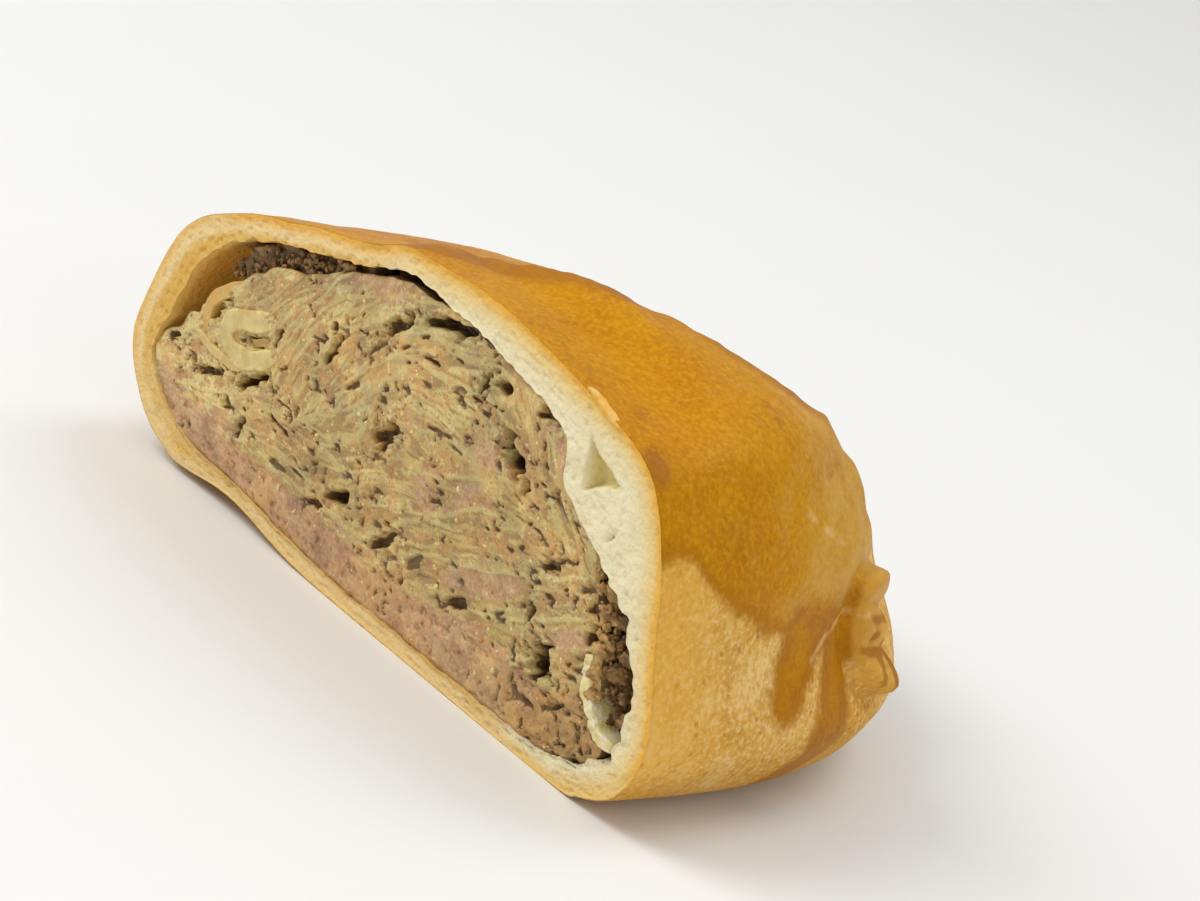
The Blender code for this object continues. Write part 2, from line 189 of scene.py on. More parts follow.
# Hollows in the face: place, half length and half width, angle in degrees, depth
HOLLOWS = [
    (25.6, 35.6, 3.6, 1.7, -42, 4.5), (-8.3, 13.8, 3.6, 0.9, 24, 3.0), (-31.5, 20.3, 3.9, 1.0, 34, 3.2),
    (-51.6, 18.4, 1.7, 0.7, 30, 1.8), (-32.4, 13.4, 3.4, 0.9, 82, 2.0), (-36.0, 14.6, 1.5, 0.8, -20, 1.2),
    (-1.2, 26.0, 2.8, 1.5, 60, 2.2), (-15.5, 35.4, 0.8, 0.5, 30, 1.4), (-14.8, 32.4, 2.6, 0.6, 62, 1.6),
    (38.2, 12.9, 3.2, 2.1, 22, 3.2), (2.6, 12.6, 4.0, 0.7, 42, 1.8), (19.6, 12.2, 2.6, 0.7, 24, 1.6),
    (21.5, 43.2, 1.3, 0.8, 20, 1.8), (30.6, 43.6, 2.0, 1.0, 20, 2.2), (-2.0, 41.6, 3.3, 1.0, 38, 2.0),
    (17.0, 41.4, 2.0, 0.6, 64, 1.6), (6.0, 40.0, 2.0, 0.4, 8, 1.4), (13.0, 37.6, 1.1, 0.5, -10, 1.0),
    (46.0, 25.0, 1.2, 0.8, 30, 1.5), (37.0, 7.2, 1.6, 0.5, 15, 1.2), (43.0, 9.6, 2.4, 0.4, 38, 1.2),
    (-13.0, 10.6, 2.2, 0.7, 20, 1.4), (34.8, 18.4, 1.2, 0.4, 70, 1.0), (47.5, 22.0, 2.4, 1.2, 40, 2.4),
    (-42.5, 17.0, 3.2, 0.6, 22, 1.4), (-9.5, 29.5, 1.4, 0.5, 40, 0.9), (9.0, 45.8, 5.2, 0.9, 12, 3.0),
    (36.0, 25.6, 2.6, 0.6, 32, 1.2), (-24.6, 42.0, 2.6, 0.5, 18, 1.2), (-24, 17.2, 3.0, 0.35, -8, 0.9),
    (-27.4, 28.6, 1.6, 0.5, 70, 1.2), (-32.0, 25.9, 2.8, 1.0, 26, 1.8), (-43.0, 26.6, 3.2, 1.3, 62, 1.6)]

# Patches of pink meat: place, half length and half width, angle in degrees
MEAT_PATCHES = [
    (-6, 45, 6.5, 2.2, 8), (14, 25.5, 9, 3.2, 28), (24, 17.6, 10, 2.4, 26), (26.5, 35.6, 4.5, 3.4, -30),
    (19.5, 33.5, 4, 3, 0), (42, 19, 7, 2.6, 24), (34, 41, 3, 5, 24), (-45, 11, 10, 3.4, 6),
    (28, 8, 9, 3.4, 4), (4, 30.6, 3, 2, 10), (-12, 44.4, 5, 1.6, 20)]

# Single cabbage leaves that stand clear of the rest: points across and up the face, then thickness, reach
# into the pasty, how far it stands out of the cut, how tan it is from 0 to 1, and its seed
CURL = ([(-27.8, 30.6), (-33, 28.4), (-37.2, 26.8), (-39.0, 24.7), (-37.6, 22.6), (-34.2, 22.4),
         (-30.5, 23.6), (-27.6, 25.4)], 3.3, 6.0, 0.1, 0.0, 3)
INNER_CURL = ([(-36.6, 24.6), (-34.0, 24.9), (-31.4, 26.2), (-28.4, 27.4)], 1.3, 5.0, -0.9, 0.35, 7)
ARCH = ([(-43.6, 20.6), (-44.8, 23.4), (-44.2, 26.6), (-41.4, 29.4), (-37.4, 31.6), (-33.6, 33.0)],
        2.0, 6.0, -0.3, 0.9, 5)
UNDER_CURL = ([(-50, 18.6), (-45.5, 21), (-40.6, 20.2), (-36, 20.6), (-32.6, 23)], 1.5, 5.0, -0.1, 0.3, 6)
POCKET_LEAF = ([(47.0, 19.2), (47.9, 16.4), (48.4, 14.2), (50.2, 12.6), (51.4, 10.6), (54.6, 9.6)],
               1.9, 3.8, 0.5, 0.0, 4)
# In the same way, the flake of dough that the knife turned up at the crust's outer edge, and the bed of
# brown crumbs between filling and crust
EDGE_FLAKE = ([(36.6, 50.2), (39.4, 49.8), (42.2, 48.7), (44.6, 47.8)], 0.4, 0.7, 0.45, 0.0, 12)
CRUMB_BED = ([(-41.4, 30.6), (-37, 34.4), (-31.6, 37.8), (-25, 40.6), (-18, 43.2), (-11.6, 45.2)],
             5.6, 6.0, -1.6, 0.0, 14)
# Power of the superellipse that is a leaf's section
LEAF_POWER = 12.5

# Crumbled lumps, brown beside and above the filling and paler along its right edge: route across and up,
# number, scatter, smallest and largest size, and how far in; and the rings of a lump and of a grain
RIGHT_LUMPS = ([(47.0, 28.8), (50.4, 24), (51.2, 18.5), (50.8, 13), (47, 7.0)],
               180, 2.6, (0.2, 1.5), (1.6, 6.6))
TOP_LUMPS = ([(-40.0, 31.8), (-35, 35.2), (-28, 38.8), (-21, 41.4), (-15, 43.4)],
             150, 2.4, (0.15, 0.7), (0.8, 1.8))
EDGE_LUMPS = ([(44.6, 30.4), (48.0, 25), (48.9, 20), (48.8, 15), (48.0, 9.6)],
              150, 1.3, (0.15, 0.95), (0.4, 3.2))
LUMP_DETAIL = 16
# Loose grains on the face: number, smallest and largest size, and seed; then the lowest and highest place
# across and up, and the height that they stay under, as places across and up
SPICE_GRAINS = (90, 0.15, 0.38, 5)
FAT_GRAINS = (70, 0.12, 0.34, 6)
GRAIN_DETAIL = 6
GRAIN_FIELD = ([-50, 4], [45, 46])
GRAIN_ROOF = [(-50, 14), (-34, 34), (-24, 38), (0, 45), (20, 44), (32, 41), (45, 27)]

# Cut leaves of the face, broad flat ones and then fine edges: spacing across and up, and the least and
# most of their thickness, length and level
LEAF_KINDS = [((3.6, 2.0), (1.3, 2.8), (7, 20), (0.0, 0.5)),
              ((3.2, 1.5), (0.35, 0.9), (4, 16), (0.4, 0.95))]
# Where they start, across and up, and the number of steps that each takes both ways
LEAF_FIELD = ((-57, 54), (8, 50))
LEAF_STEPS = 4
# Cells of the face over which its depth is averaged, to find its hollows and ridges
CAVITY_REACH = 5

# Stage
FLOOR_REACH = 3.0
CAMERA_PLACE = FOOT + np.array([343.9, -301.5, 177.4]) * MM
CAMERA_AIM = np.array([1, 0, 26]) * MM
CAMERA_LENS = 110
CAMERA_ROLL = np.radians(18.5)


# ---------------------------------------------------------------- numbers

def smooth_step(low, high, value):
    """Rises from 0 at low to 1 at high with level ends."""
    part = np.clip((value - low) / (high - low), 0, 1)
    return part * part * (3 - 2 * part)


def lattice(cells, seed):
    """A repeatable number in -1..1 for each whole-number cell: mixed products with large odd factors."""
    factors = np.array([73856093, 19349663, 83492791], np.int64)[: cells.shape[-1]]
    mixed = (cells * factors).sum(-1) + seed * 2654435761
    mixed = (mixed ^ (mixed >> 13)) * 1274126177
    mixed = mixed ^ (mixed >> 16)
    return (mixed & 0xFFFF) / 32767.5 - 1


def noise(points, scale, seed=0):
    """Value noise in -1..1: lattice numbers at the corners of each cell of that size, eased between."""
    scaled = points / scale
    cell = np.floor(scaled).astype(np.int64)
    part = scaled - cell
    part = part * part * (3 - 2 * part)
    total = np.zeros(points.shape[:-1])
    for corner in np.ndindex(*(2,) * points.shape[-1]):
        weight = np.prod(np.where(corner, part, 1 - part), axis=-1)
        total += weight * lattice(cell + np.array(corner), seed)
    return total


def fractal(points, scale, seed=0, octaves=3):
    """Sum of noises, each half the size and half the strength of the one before."""
    return sum(noise(points, scale / 2**k, seed + 31 * k) / 2**k for k in range(octaves))


def drift(flat, scale, seed, other):
    """A noise for each of the two directions on the face, to move places about by."""
    return np.stack([noise(flat, scale, seed), noise(flat, scale, other)], -1)


def crumbs(points, size, seed=0):
    """Cellular pattern on a plane: distance to the nearest of one random point per square, in squares,
    and that point's own number in -1..1."""
    scaled = points / size
    cell = np.floor(scaled).astype(np.int64)
    nearest = np.full(points.shape[:-1], 9.0)
    number = np.zeros(points.shape[:-1])
    for step in np.ndindex(3, 3):
        other = cell + np.array(step) - 1
        spot = other + 0.5 + 0.42 * np.stack([lattice(other, seed), lattice(other, seed + 7)], -1)
        away = np.linalg.norm(scaled - spot, axis=-1)
        number = np.where(away < nearest, lattice(other, seed + 13), number)
        nearest = np.minimum(nearest, away)
    return nearest, number


def ellipse(flat, place, half_length, half_width, angle):
    """Distance from an ellipse's centre at points (..., 2), as a share of its radius that way."""
    away = flat - place
    cos, sin = np.cos(np.radians(angle)), np.sin(np.radians(angle))
    along = away[..., 0] * cos + away[..., 1] * sin
    across = away[..., 1] * cos - away[..., 0] * sin
    return np.hypot(along / half_length, across / half_width)


def curve(points, count):
    """Catmull-Rom curve through points, evenly spaced by its own parameter, with its ends kept."""
    points = np.array(points, float)
    padded = np.vstack([2 * points[0] - points[1], points, 2 * points[-1] - points[-2]])
    along = np.linspace(0, len(points) - 1, count)
    return catmull_rom(padded, along)


def catmull_rom(padded, along):
    """Cubic through padded points at parameters that count from the second one."""
    first = np.minimum(along.astype(int), len(padded) - 4)
    part = (along - first)[:, None]
    a, b, c, d = (padded[first + k] for k in range(4))
    return b + 0.5 * part * (c - a + part * (2 * a - 5 * b + 4 * c - d + part * (3 * (b - c) + d - a)))


# ---------------------------------------------------------------- shapes of the half

def profile(points, along):
    """Curve through half a closed outline, mirrored at both ends, at the given parameters, in metres."""
    outline = np.array(points, float) * MM
    mirrored = outline * [-1, 1]
    return catmull_rom(np.vstack([mirrored[1], outline, mirrored[-2]]), along)


def stations(side, knots, counts):
    """Outline parameters evenly spaced by length between each two knots, that many steps in each."""
    dense = np.linspace(0, len(side) - 1, OUTLINE_SAMPLES)
    steps = np.linalg.norm(np.diff(profile(side, dense), axis=0), axis=1)
    length = np.concatenate([[0], np.cumsum(steps)])
    marks = np.interp(knots, dense, length)
    parts = [np.linspace(low, high, count, endpoint=False)
             for low, high, count in zip(marks, marks[1:], counts)]
    return np.interp(np.concatenate([*parts, marks[-1:]]), length, dense)


def turn_angles(count, centre=0.0, spread=1.0, extra=0.0):
    """Angles from 0 to pi: closer near the cut, and closer by a bell of extra samples round one angle."""
    angle = np.linspace(0, np.pi, 2000)
    density = 1 + extra * np.exp(-(((angle - centre) / spread) ** 2))
    density += 2.5 * np.exp(-angle / 0.04) + 2.5 * np.exp(-(np.pi - angle) / 0.04)
    total = np.concatenate([[0], np.cumsum((density[1:] + density[:-1]) / 2)])
    return np.interp(np.linspace(0, total[-1], count), total, angle)


def half_dome(sides, depth, turns, along):
    """Half an oval dome: the side outlines mixed by squared cosine over the superellipse
    |x/a|^n + |y/b|^n = 1, drawn in a little at the right back corner. Grid of turns x stations."""
    turn = turns[:, None, None]
    right, left, back = (profile(side, along)[None] for side in sides)
    cos, sin = np.cos(turn), np.sin(turn)
    right_share = np.where(cos > 0, cos**2, 0)
    left_share = np.where(cos < 0, cos**2, 0)
    mixed = right_share * right + left_share * left + (1 - right_share - left_share) * back
    oval = np.abs(cos) ** PLAN_POWER + np.abs(sin * HALF_WIDTH / depth) ** PLAN_POWER
    reach = oval ** (-1 / PLAN_POWER)
    out, height = mixed[..., :1], np.maximum(mixed[..., 1:], 0)
    belly = smooth_step(10 * MM, 25 * MM, height) * (1 - smooth_step(40 * MM, 50 * MM, height))
    corner = np.where(cos > 0, (2 * sin * cos) ** 2, 0)
    out = out * reach * (1 - CORNER_PINCH * corner * belly)
    points = np.concatenate([out * cos, out * sin, height], -1)
    points[[0, -1], :, 1] = 0
    return points


def lean(points):
    """Slides the cut face forward with height, less and less towards the back."""
    leaned = points.copy()
    leaned[..., 1] -= LEAN * points[..., 2] * (1 - points[..., 1] / DEPTH)
    return leaned


def behind_cut(points):
    """How far points lie behind the leaning plane of the cut, along Y."""
    return points[..., 1] + LEAN * points[..., 2]


def outward(points):
    """Roughly the way out of the dome at each point: the gradient of an ellipsoid round it."""
    way = (points - OVAL_CENTRE) / OVAL_RADII**2
    return way / (np.linalg.norm(way, axis=-1, keepdims=True) + 1e-9)


def seam_place(points):
    """Distance along the seam, and across it with the upper dough's side positive."""
    run = SEAM_END - SEAM_START
    way = run / np.linalg.norm(run)
    flat = points[..., :2] - SEAM_START
    return flat @ way, flat @ np.array([way[1], -way[0]])


def seam_reach(points, across):
    """How much of the seam shows: 1 on it, fading with distance, towards the cut and down the side."""
    fade = smooth_step(0, 12 * MM, points[..., 1]) * smooth_step(14 * MM, 34 * MM, points[..., 2])
    return fade * np.exp(-((across / SEAM_REACH) ** 2))


def seam_lift(points):
    """Height of the upper dough over the lower at the seam: a soft step whose edge runs in lobes and
    pleats, with a swelling on each lobe."""
    along, across = seam_place(points)
    wave = np.sin(2 * np.pi * along / LOBE_STEP + 2.6 * np.sin(along / (7 * MM)))
    uneven = 0.35 + 0.35 * np.sin(along / (4.1 * MM) + 1)
    wander = 0.8 * MM * wave * uneven + 0.16 * MM * np.sin(2 * np.pi * along / PLEAT_STEP)
    side = np.tanh((across + wander) / SEAM_SOFTNESS)
    lift = SEAM_RISE * (1 + side) / 2 - SEAM_DROP * (1 - side) / 2
    ridge = np.exp(-(((across - 2.2 * MM) / (3.2 * MM)) ** 2))
    lift += ridge * MM * (0.3 * wave * uneven + 0.35 * noise(points, 4 * MM, 27))
    return lift * seam_reach(points, across)


def base_dent(points):
    """How far the base is pressed up under the left of the cut: a bell, exp(-t^2), across, which fades
    with height and towards the back."""
    x, y, z = (points[..., axis] / MM for axis in range(3))
    return BASE_DENT * np.exp(-(((x + 33) / 13) ** 2)) * smooth_step(34, 4, y) * smooth_step(12, 2, z)


def knob_shape(points):
    """The pinched knob: how far inside its oval a point is, 0 to 1.25 and less towards the top, how high on
    one of its three lobes, |sin| between the grooves, and how near the crease round it."""
    out = points[..., :2] @ np.array([np.cos(KNOB_ANGLE), np.sin(KNOB_ANGLE)])
    side = points[..., :2] @ np.array([-np.sin(KNOB_ANGLE), np.cos(KNOB_ANGLE)])
    height = points[..., 2] + 0.25 * side + 0.4 * MM * noise(points, 4 * MM, 28)
    low, high = KNOB_GROOVES[0], KNOB_GROOVES[-1]
    lobe = np.abs(np.sin(np.pi * np.interp(height, KNOB_GROOVES, range(len(KNOB_GROOVES)))))
    away = np.hypot(side / KNOB_WIDE, (height - (low + high) / 2) / ((high - low) / 2))
    facing = out > 0
    swell = facing * (1.25 - 0.45 * np.clip((height - low) / (high - low), 0, 1))
    return smooth_step(1.0, 0.75, away) * swell, lobe, np.exp(-(((away - 1.05) / 0.12) ** 2)) * facing


def knob_swell(points):
    """Height of the knob over the side, as a share of its swell: lobes, lower in the crease round them."""
    inside, lobe, crease = knob_shape(points)
    return inside * (0.5 + 0.5 * lobe) - 0.2 * crease


# ---------------------------------------------------------------- meshes

def grid_faces(index, points, wanted):
    """Quads between neighbouring entries of an index grid, all turned so that they face the wanted way
    on balance; wanted is a direction, or directions at the points."""
    faces = np.stack([index[:-1, :-1], index[1:, :-1], index[1:, 1:], index[:-1, 1:]], -1).reshape(-1, 4)
    corners = points[faces]
    normals = np.cross(corners[:, 2] - corners[:, 0], corners[:, 3] - corners[:, 1])
    directions = wanted[faces[:, 0]] if np.ndim(wanted) == 2 else np.array(wanted)
    return faces if (normals * directions).sum() > 0 else faces[:, ::-1]


def new_piece(name, points, faces, marks, material, replaces=None):
    """Makes a mesh piece from points in metres round the cut's foot, quads, and named vertex numbers.

    Corners that repeat in a quad are dropped, and points that no face uses are left out.
    """
    used, inverse = np.unique(np.concatenate(faces), return_inverse=True)
    quads = inverse.reshape(-1, 4)
    differs = quads != np.roll(quads, 1, axis=1)
    whole = differs.all(1)
    broken = zip(quads[~whole], differs[~whole])
    rows = quads[whole].tolist() + [quad[keep].tolist() for quad, keep in broken]
    rows = [row for row in rows if len(row) > 2]
    mesh = bpy.data.meshes.new(name)
    mesh.from_pydata((points[used] + FOOT).tolist(), [], rows)
    for mark, values in marks.items():
        attribute = mesh.attributes.new(mark, "FLOAT", "POINT")
        attribute.data.foreach_set("value", values[used].astype(np.float32))
    mesh.shade_smooth()
    mesh.materials.append(material)
    piece = bpy.data.objects.new(name, mesh)
    bpy.context.scene.collection.objects.link(piece)
    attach(piece, "root")
    if replaces:
        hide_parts(replaces)
    return piece


def shared_ends(index):
    """An index grid whose first and last columns are each one point, where all its rows meet."""
    index = index.copy()
    index[:, 0] = index[0, 0]
    index[:, -1] = index[0, -1]
    return index


# ---------------------------------------------------------------- crust

def glaze_height(points):
    """Millimetres above the glaze's lower edge, which runs in drips round the side."""
    angle = np.degrees(np.arctan2(points[..., 1], points[..., 0]))
    edge_angle, edge_height = np.array(GLAZE_EDGE).T
    height = points[..., 2] / MM
    edge = np.interp(angle, edge_angle, edge_height)
    above = np.maximum(height - edge, drip_height(points))
    return above + 0.8 * noise(points, 5 * MM, 21) + 0.35 * noise(points, 1.6 * MM, 22)


def drip_height(points):
    """Millimetres inside the outline of the nearest place where glaze ran down the side."""
    inside = []
    for top, end, run in DRIPS:
        gap, share = line_distance(unrolled(points), unrolled_route(run))
        inside.append(top + (end - top) * share - gap)
    return np.max(inside, 0)


def thin_glaze_and_sheen(points):
    """Share of thinner, paler glaze, partly painted sheen: on the right, away from the cut and below the
    seam.
    """
    x, y, z = (points[..., axis] / MM for axis in range(3))
    below = smooth_step(24, 33, z + 2 * noise(points, 6 * MM, 25)) * smooth_step(54, 48, z)
    return smooth_step(12, 34, y + 5 * noise(points, 9 * MM, 24)) * smooth_step(12, 32, x) * below


def unrolled(points):
    """Millimetres round the side from +X, and height, as on a cylinder."""
    angle = np.arctan2(points[..., 1], points[..., 0])
    return np.stack([angle * SIDE_RADIUS, points[..., 2] / MM], -1)


def unrolled_route(route):
    """The same for a route given as angles in degrees and heights in millimetres."""
    return np.array(route) * [np.radians(SIDE_RADIUS), 1]


def line_distance(flat, line):
    """Distance from places on a plane to a line through corners, and how far along it, 0 to 1."""
    nearest = np.full(flat.shape[:-1], 99.0)
    along = np.zeros(flat.shape[:-1])
    for number, (start, end) in enumerate(zip(line, line[1:])):
        run = end - start
        share = np.clip(((flat - start) @ run) / (run @ run), 0, 1)
        gap = np.linalg.norm(flat - start - share[..., None] * run, axis=-1)
        along = np.where(gap < nearest, (number + share) / (len(line) - 1), along)
        nearest = np.minimum(gap, nearest)
    return nearest, along


def crease_distance(points):
    """Millimetres to the nearest crease, measured on the unrolled side."""
    flat = unrolled(points)
    nearest = np.min([line_distance(flat, unrolled_route(crease))[0] for crease in CREASES], 0)
    return nearest + 0.35 * np.abs(noise(points, 1.5 * MM, 23))


def spot(points, centre, radii):
    """1 at a centre and fading round it: exp(-d^2), with d the distance in radii."""
    away = (points - np.array(centre) * MM) / (np.array(radii) * MM)
    return np.exp(-(np.linalg.norm(away, axis=-1) ** 2))


def skin_browning(points):
    """Extra browning along the seam's ridge, in patches on the knob and in two spots; darker in the knob's
    grooves and the crease round it.
    """
    along, across = seam_place(points)
    ridge = np.exp(-(((across - 3 * MM) / (3.5 * MM)) ** 2)) * smooth_step(26 * MM, 40 * MM, points[..., 2])
    ridge = ridge * (0.6 + np.exp(-along / (15 * MM)) + 0.4 * noise(points, 6 * MM, 29))
    inside, lobe, crease = knob_shape(points)
    ridge = ridge + inside * smooth_step(0.2, 0.6, noise(points, 2.6 * MM, 30))
    spots = 1.9 * spot(points, *FRECKLE) + 1.2 * spot(points, *PIT)
    return ridge + spots + 1.6 * inside * (1 - lobe) ** 3 + 0.35 * crease


def skin_relief(points):
    """Height of the skin's broad dents and fine roughness over the plain dome, none of it at the base."""
    rise = smooth_step(1 * MM, 9 * MM, points[..., 2])
    dents = 0.55 * MM * noise(points, 19 * MM, 31) + 0.22 * MM * noise(points, 7 * MM, 32)
    rough = 0.07 * MM * fractal(points, 2.2 * MM, 33, 3)
    return rise * (dents + rough)


def pocket_gap(flat):
    """Signed distance outside the air pocket's triangle, in millimetres."""
    corners = np.array(POCKET)
    gap = np.full(flat.shape[:-1], -9.0)
    for start, end in zip(corners, np.roll(corners, -1, axis=0)):
        run = (end - start) / np.linalg.norm(end - start)
        gap = np.maximum(gap, (flat - start) @ np.array([run[1], -run[0]]))
    return gap + 0.25 * noise(flat, 1.4, 41)


def cut_relief(points, edge):
    """How far the torn crumb lies behind the cut: open grain and pores, which fade out at the outer edge,
    a crack and the air pocket. edge is the distance from the skin in millimetres."""
    flat = points[..., [0, 2]] / MM
    near, number = crumbs(flat, 1.3, 42)
    pores = (1 - smooth_step(0.1, 0.42, near)) * smooth_step(0.1, 0.6, number)
    relief = 0.16 * fractal(flat, 2.6, 43, 3) + 0.08 + 0.3 * pores
    relief = relief * MM * smooth_step(0, 0.9, edge)
    crack = CRACK_DEPTH * np.exp(-(ellipse(flat, *CRACK) ** 2))
    hole = POCKET_DEPTH * smooth_step(0.15, -0.75, pocket_gap(flat))
    return relief + hole + crack


def cut_baked(points):
    """How baked the cut dough is, 0 cream to 1 tan: the thin flap at the left and top, less below."""
    x, z = points[..., 0] / MM, points[..., 2] / MM
    left = smooth_step(4, -16, x) * (0.75 + 0.25 * smooth_step(10, 26, z))
    low = smooth_step(9, 3, z) * smooth_step(44, 22, x) * 0.8
    return np.clip(np.maximum(left, low) + 0.15 * noise(points, 5 * MM, 44), 0, 1)


def from_skin(strip):
    """Millimetres from the skin over a strip of the cut, whose first row lies on the skin."""
    flat = strip[..., [0, 2]]
    return np.linalg.norm(flat - flat[:1], axis=-1) / MM


def crust_skin(turns, along):
    """The outer skin as a grid, and the plain dome under its dents, seam and knob."""
    plain = lean(half_dome((RIGHT_SIDE, LEFT_SIDE, BACK_SIDE), DEPTH, turns, along))
    skin = plain + outward(plain) * (seam_lift(plain) + skin_relief(plain))[..., None]
    skin = skin + outward(plain) * (KNOB_SWELL * knob_swell(plain))[..., None]
    skin[..., 2] = np.maximum(skin[..., 2], 0) + base_dent(plain)
    return skin, plain


def crust_wall(turns, along):
    """The wall round the filling as a grid: a plain dome with ragged noise, strongest low at the right."""
    wall = half_dome((RIGHT_WALL, LEFT_WALL, BACK_WALL), WALL_DEPTH, turns, along)
    right, low = smooth_step(30 * MM, 46 * MM, wall[..., 0]), smooth_step(34 * MM, 26 * MM, wall[..., 2])
    ragged = 0.65 * MM * noise(wall, 2.6 * MM, 51) + 0.6 * MM * noise(wall, 1.1 * MM, 52)
    ragged = (0.4 + 0.9 * right * low) * ragged
    wall = lean(wall) + outward(wall) * ragged[..., None]
    wall[..., 2] += WALL_DENT * base_dent(wall)
    return wall


def cut_strip(skin, wall, rows):
    """Torn dough at one end of the cut: straight from the skin's edge to the wall's, with its relief."""
    share = np.linspace(0, 1, rows)[:, None, None]
    strip = skin + (wall - skin) * share
    edge = np.linalg.norm(strip - skin, axis=-1) / MM
    strip[..., 1] += cut_relief(strip, edge) * smooth_step(1, 0.97, share[..., 0])
    return strip


def crust_mark(grids, *kinds):
    """A mark over the crust's skin, wall and both strips of the cut, as one flat list. It is given for the
    skin, the wall and the cut, or once for all, each time as a number or as a function of the points."""
    skin, wall, cut = kinds if len(kinds) == 3 else kinds * 3
    values = [kind(grid) if callable(kind) else np.full(grid.shape[:2], kind)
              for kind, grid in zip((skin, wall, cut, cut), grids)]
    return np.concatenate([value.ravel() for value in values])


def make_crust(settings, material):
    """The crust: outer skin, inner wall, and the cut between them, one closed mesh."""
    along = stations(RIGHT_SIDE, [0, 4, 10], [BASE_RINGS, settings.crust_rings - BASE_RINGS])
    skin_turns = turn_angles(settings.crust_turns, KNOB_ANGLE, np.radians(16), 1.6)
    skin, plain = crust_skin(skin_turns, along)
    wall = crust_wall(turn_angles(WALL_TURNS), along)
    strips = [cut_strip(skin[end], wall[end], settings.cut_rows) for end in (0, -1)]
    grids = [skin, wall, *strips]
    points = np.concatenate([grid.reshape(-1, 3) for grid in grids])
    offsets = np.cumsum([0] + [grid.shape[0] * grid.shape[1] for grid in grids])
    index = [low + np.arange(high - low).reshape(grid.shape[:2])
             for low, high, grid in zip(offsets, offsets[1:], grids)]
    index[0], index[1] = shared_ends(index[0]), shared_ends(index[1])
    for strip, end in ((2, 0), (3, -1)):
        index[strip][0], index[strip][-1] = index[0][end], index[1][end]
    index[3][:, 0], index[3][:, -1] = index[2][:, 0], index[2][:, -1]
    away = outward(points)
    faces = [grid_faces(grid, points, wanted)
             for grid, wanted in zip(index, (away, -away, (0, -1, 0), (0, -1, 0)))]
    marks = {
        "glaze": (glaze_height, -FAR_OFF, glaze_height),
        "brown": (skin_browning, 0.0, 0.0),
        "knob": (lambda _: knob_swell(plain), 0.0, 0.0),
        "crease": (crease_distance, FAR_OFF, FAR_OFF),
        "skin": (0.0, FAR_OFF, from_skin),
        "baked": (cut_baked,),
        "hollow": (0.0, lambda grid: smooth_step(0, 3 * MM, behind_cut(grid)), 0.0),
        "far": (thin_glaze_and_sheen,),
        "front": (lambda grid: smooth_step(15 * MM, 2 * MM, behind_cut(grid)),),
        "drip": (lambda grid: smooth_step(-0.5, 2.0, drip_height(grid)),),
        "low": (lambda grid: smooth_step(12 * MM, 5 * MM, grid[..., 2]),),
        "left": (lambda grid: smooth_step(-40 * MM, -45 * MM, grid[..., 0]),),
        "pocket": (FAR_OFF, FAR_OFF, lambda grid: pocket_gap(grid[..., [0, 2]] / MM)),
    }
    marks = {name: crust_mark(grids, *kinds) for name, kinds in marks.items()}
    return new_piece("crust", points, faces, marks, material, "crust")


# ---------------------------------------------------------------- filling

def fold_angle(places):
    """Way the folds run at places on the face: the grain's directions averaged by nearness, doubled so
    that opposite ways count as one."""
    gap = places[..., None, :] - GRAIN[:, :2]
    weight = np.exp(-(gap**2).sum(-1) / (2 * GRAIN_REACH**2)) + 1e-6
    double = np.radians(2 * GRAIN[:, 2])
    return np.arctan2((weight * np.sin(double)).sum(-1), (weight * np.cos(double)).sum(-1)) / 2


def pink_share(flat, outside, inside, waver=0.0):
    """How much places lie in a patch of pink meat: rises from 0 at the first share of its radius, with
    waver added, to 1 at the second."""
    return np.max([smooth_step(outside, inside, ellipse(flat, patch[:2], *patch[2:]) + waver)
                   for patch in MEAT_PATCHES], 0)


def follow_folds(place, turn, length, way):
    """The places that a line passes on its way forward, 1, or back, -1, along the folds; it holds its
    heading where the folds are read the other way round."""
    heading = fold_angle(place) + turn
    line = []
    for _ in range(LEAF_STEPS):
        new = fold_angle(place) + turn
        heading = new - np.pi * np.round((new - heading) / np.pi)
        ahead = np.array([np.cos(heading), np.sin(heading)])
        place = place + (way * length / (2 * LEAF_STEPS) * ahead).T
        line.append(place)
    return line


def leaf_strokes(settings):
    """Cut leaves as the face shows them: centre line, thickness, level from 0 to 1 and tone from -1 to 1.

    Broad flat ones lie lowest, fine edges over them and the main folds on top. Each starts from a jittered
    place and follows the folds both ways.
    """
    random = np.random.default_rng(settings.seed)
    strokes = []
    for spacing, wide, long, levels in LEAF_KINDS:
        across, up = np.meshgrid(*[np.arange(*field, step) for field, step in zip(LEAF_FIELD, spacing)])
        places = np.stack([across.ravel(), up.ravel()], -1)
        places += random.uniform(-0.6, 0.6, places.shape) * spacing
        places = places[random.random(len(places)) > 0.8 * pink_share(places, 1.3, 0.7) + 0.1]
        count = len(places)
        length, thick = random.uniform(*long, count), random.uniform(*wide, count)
        level, tone = random.uniform(*levels, count), random.uniform(-1, 1, count)
        turn = random.normal(0, 0.15, count)
        back, forward = (follow_folds(places, turn, length, way) for way in (-1, 1))
        strokes += list(zip(np.stack([*back[::-1], places, *forward], 1), thick, level, tone))
    for fold in MAIN_FOLDS:
        strokes.append((curve(fold, 4 * len(fold)), random.uniform(0.7, 1.3), random.uniform(0.75, 1.05),
                        random.uniform(0.1, 1)))
    return strokes


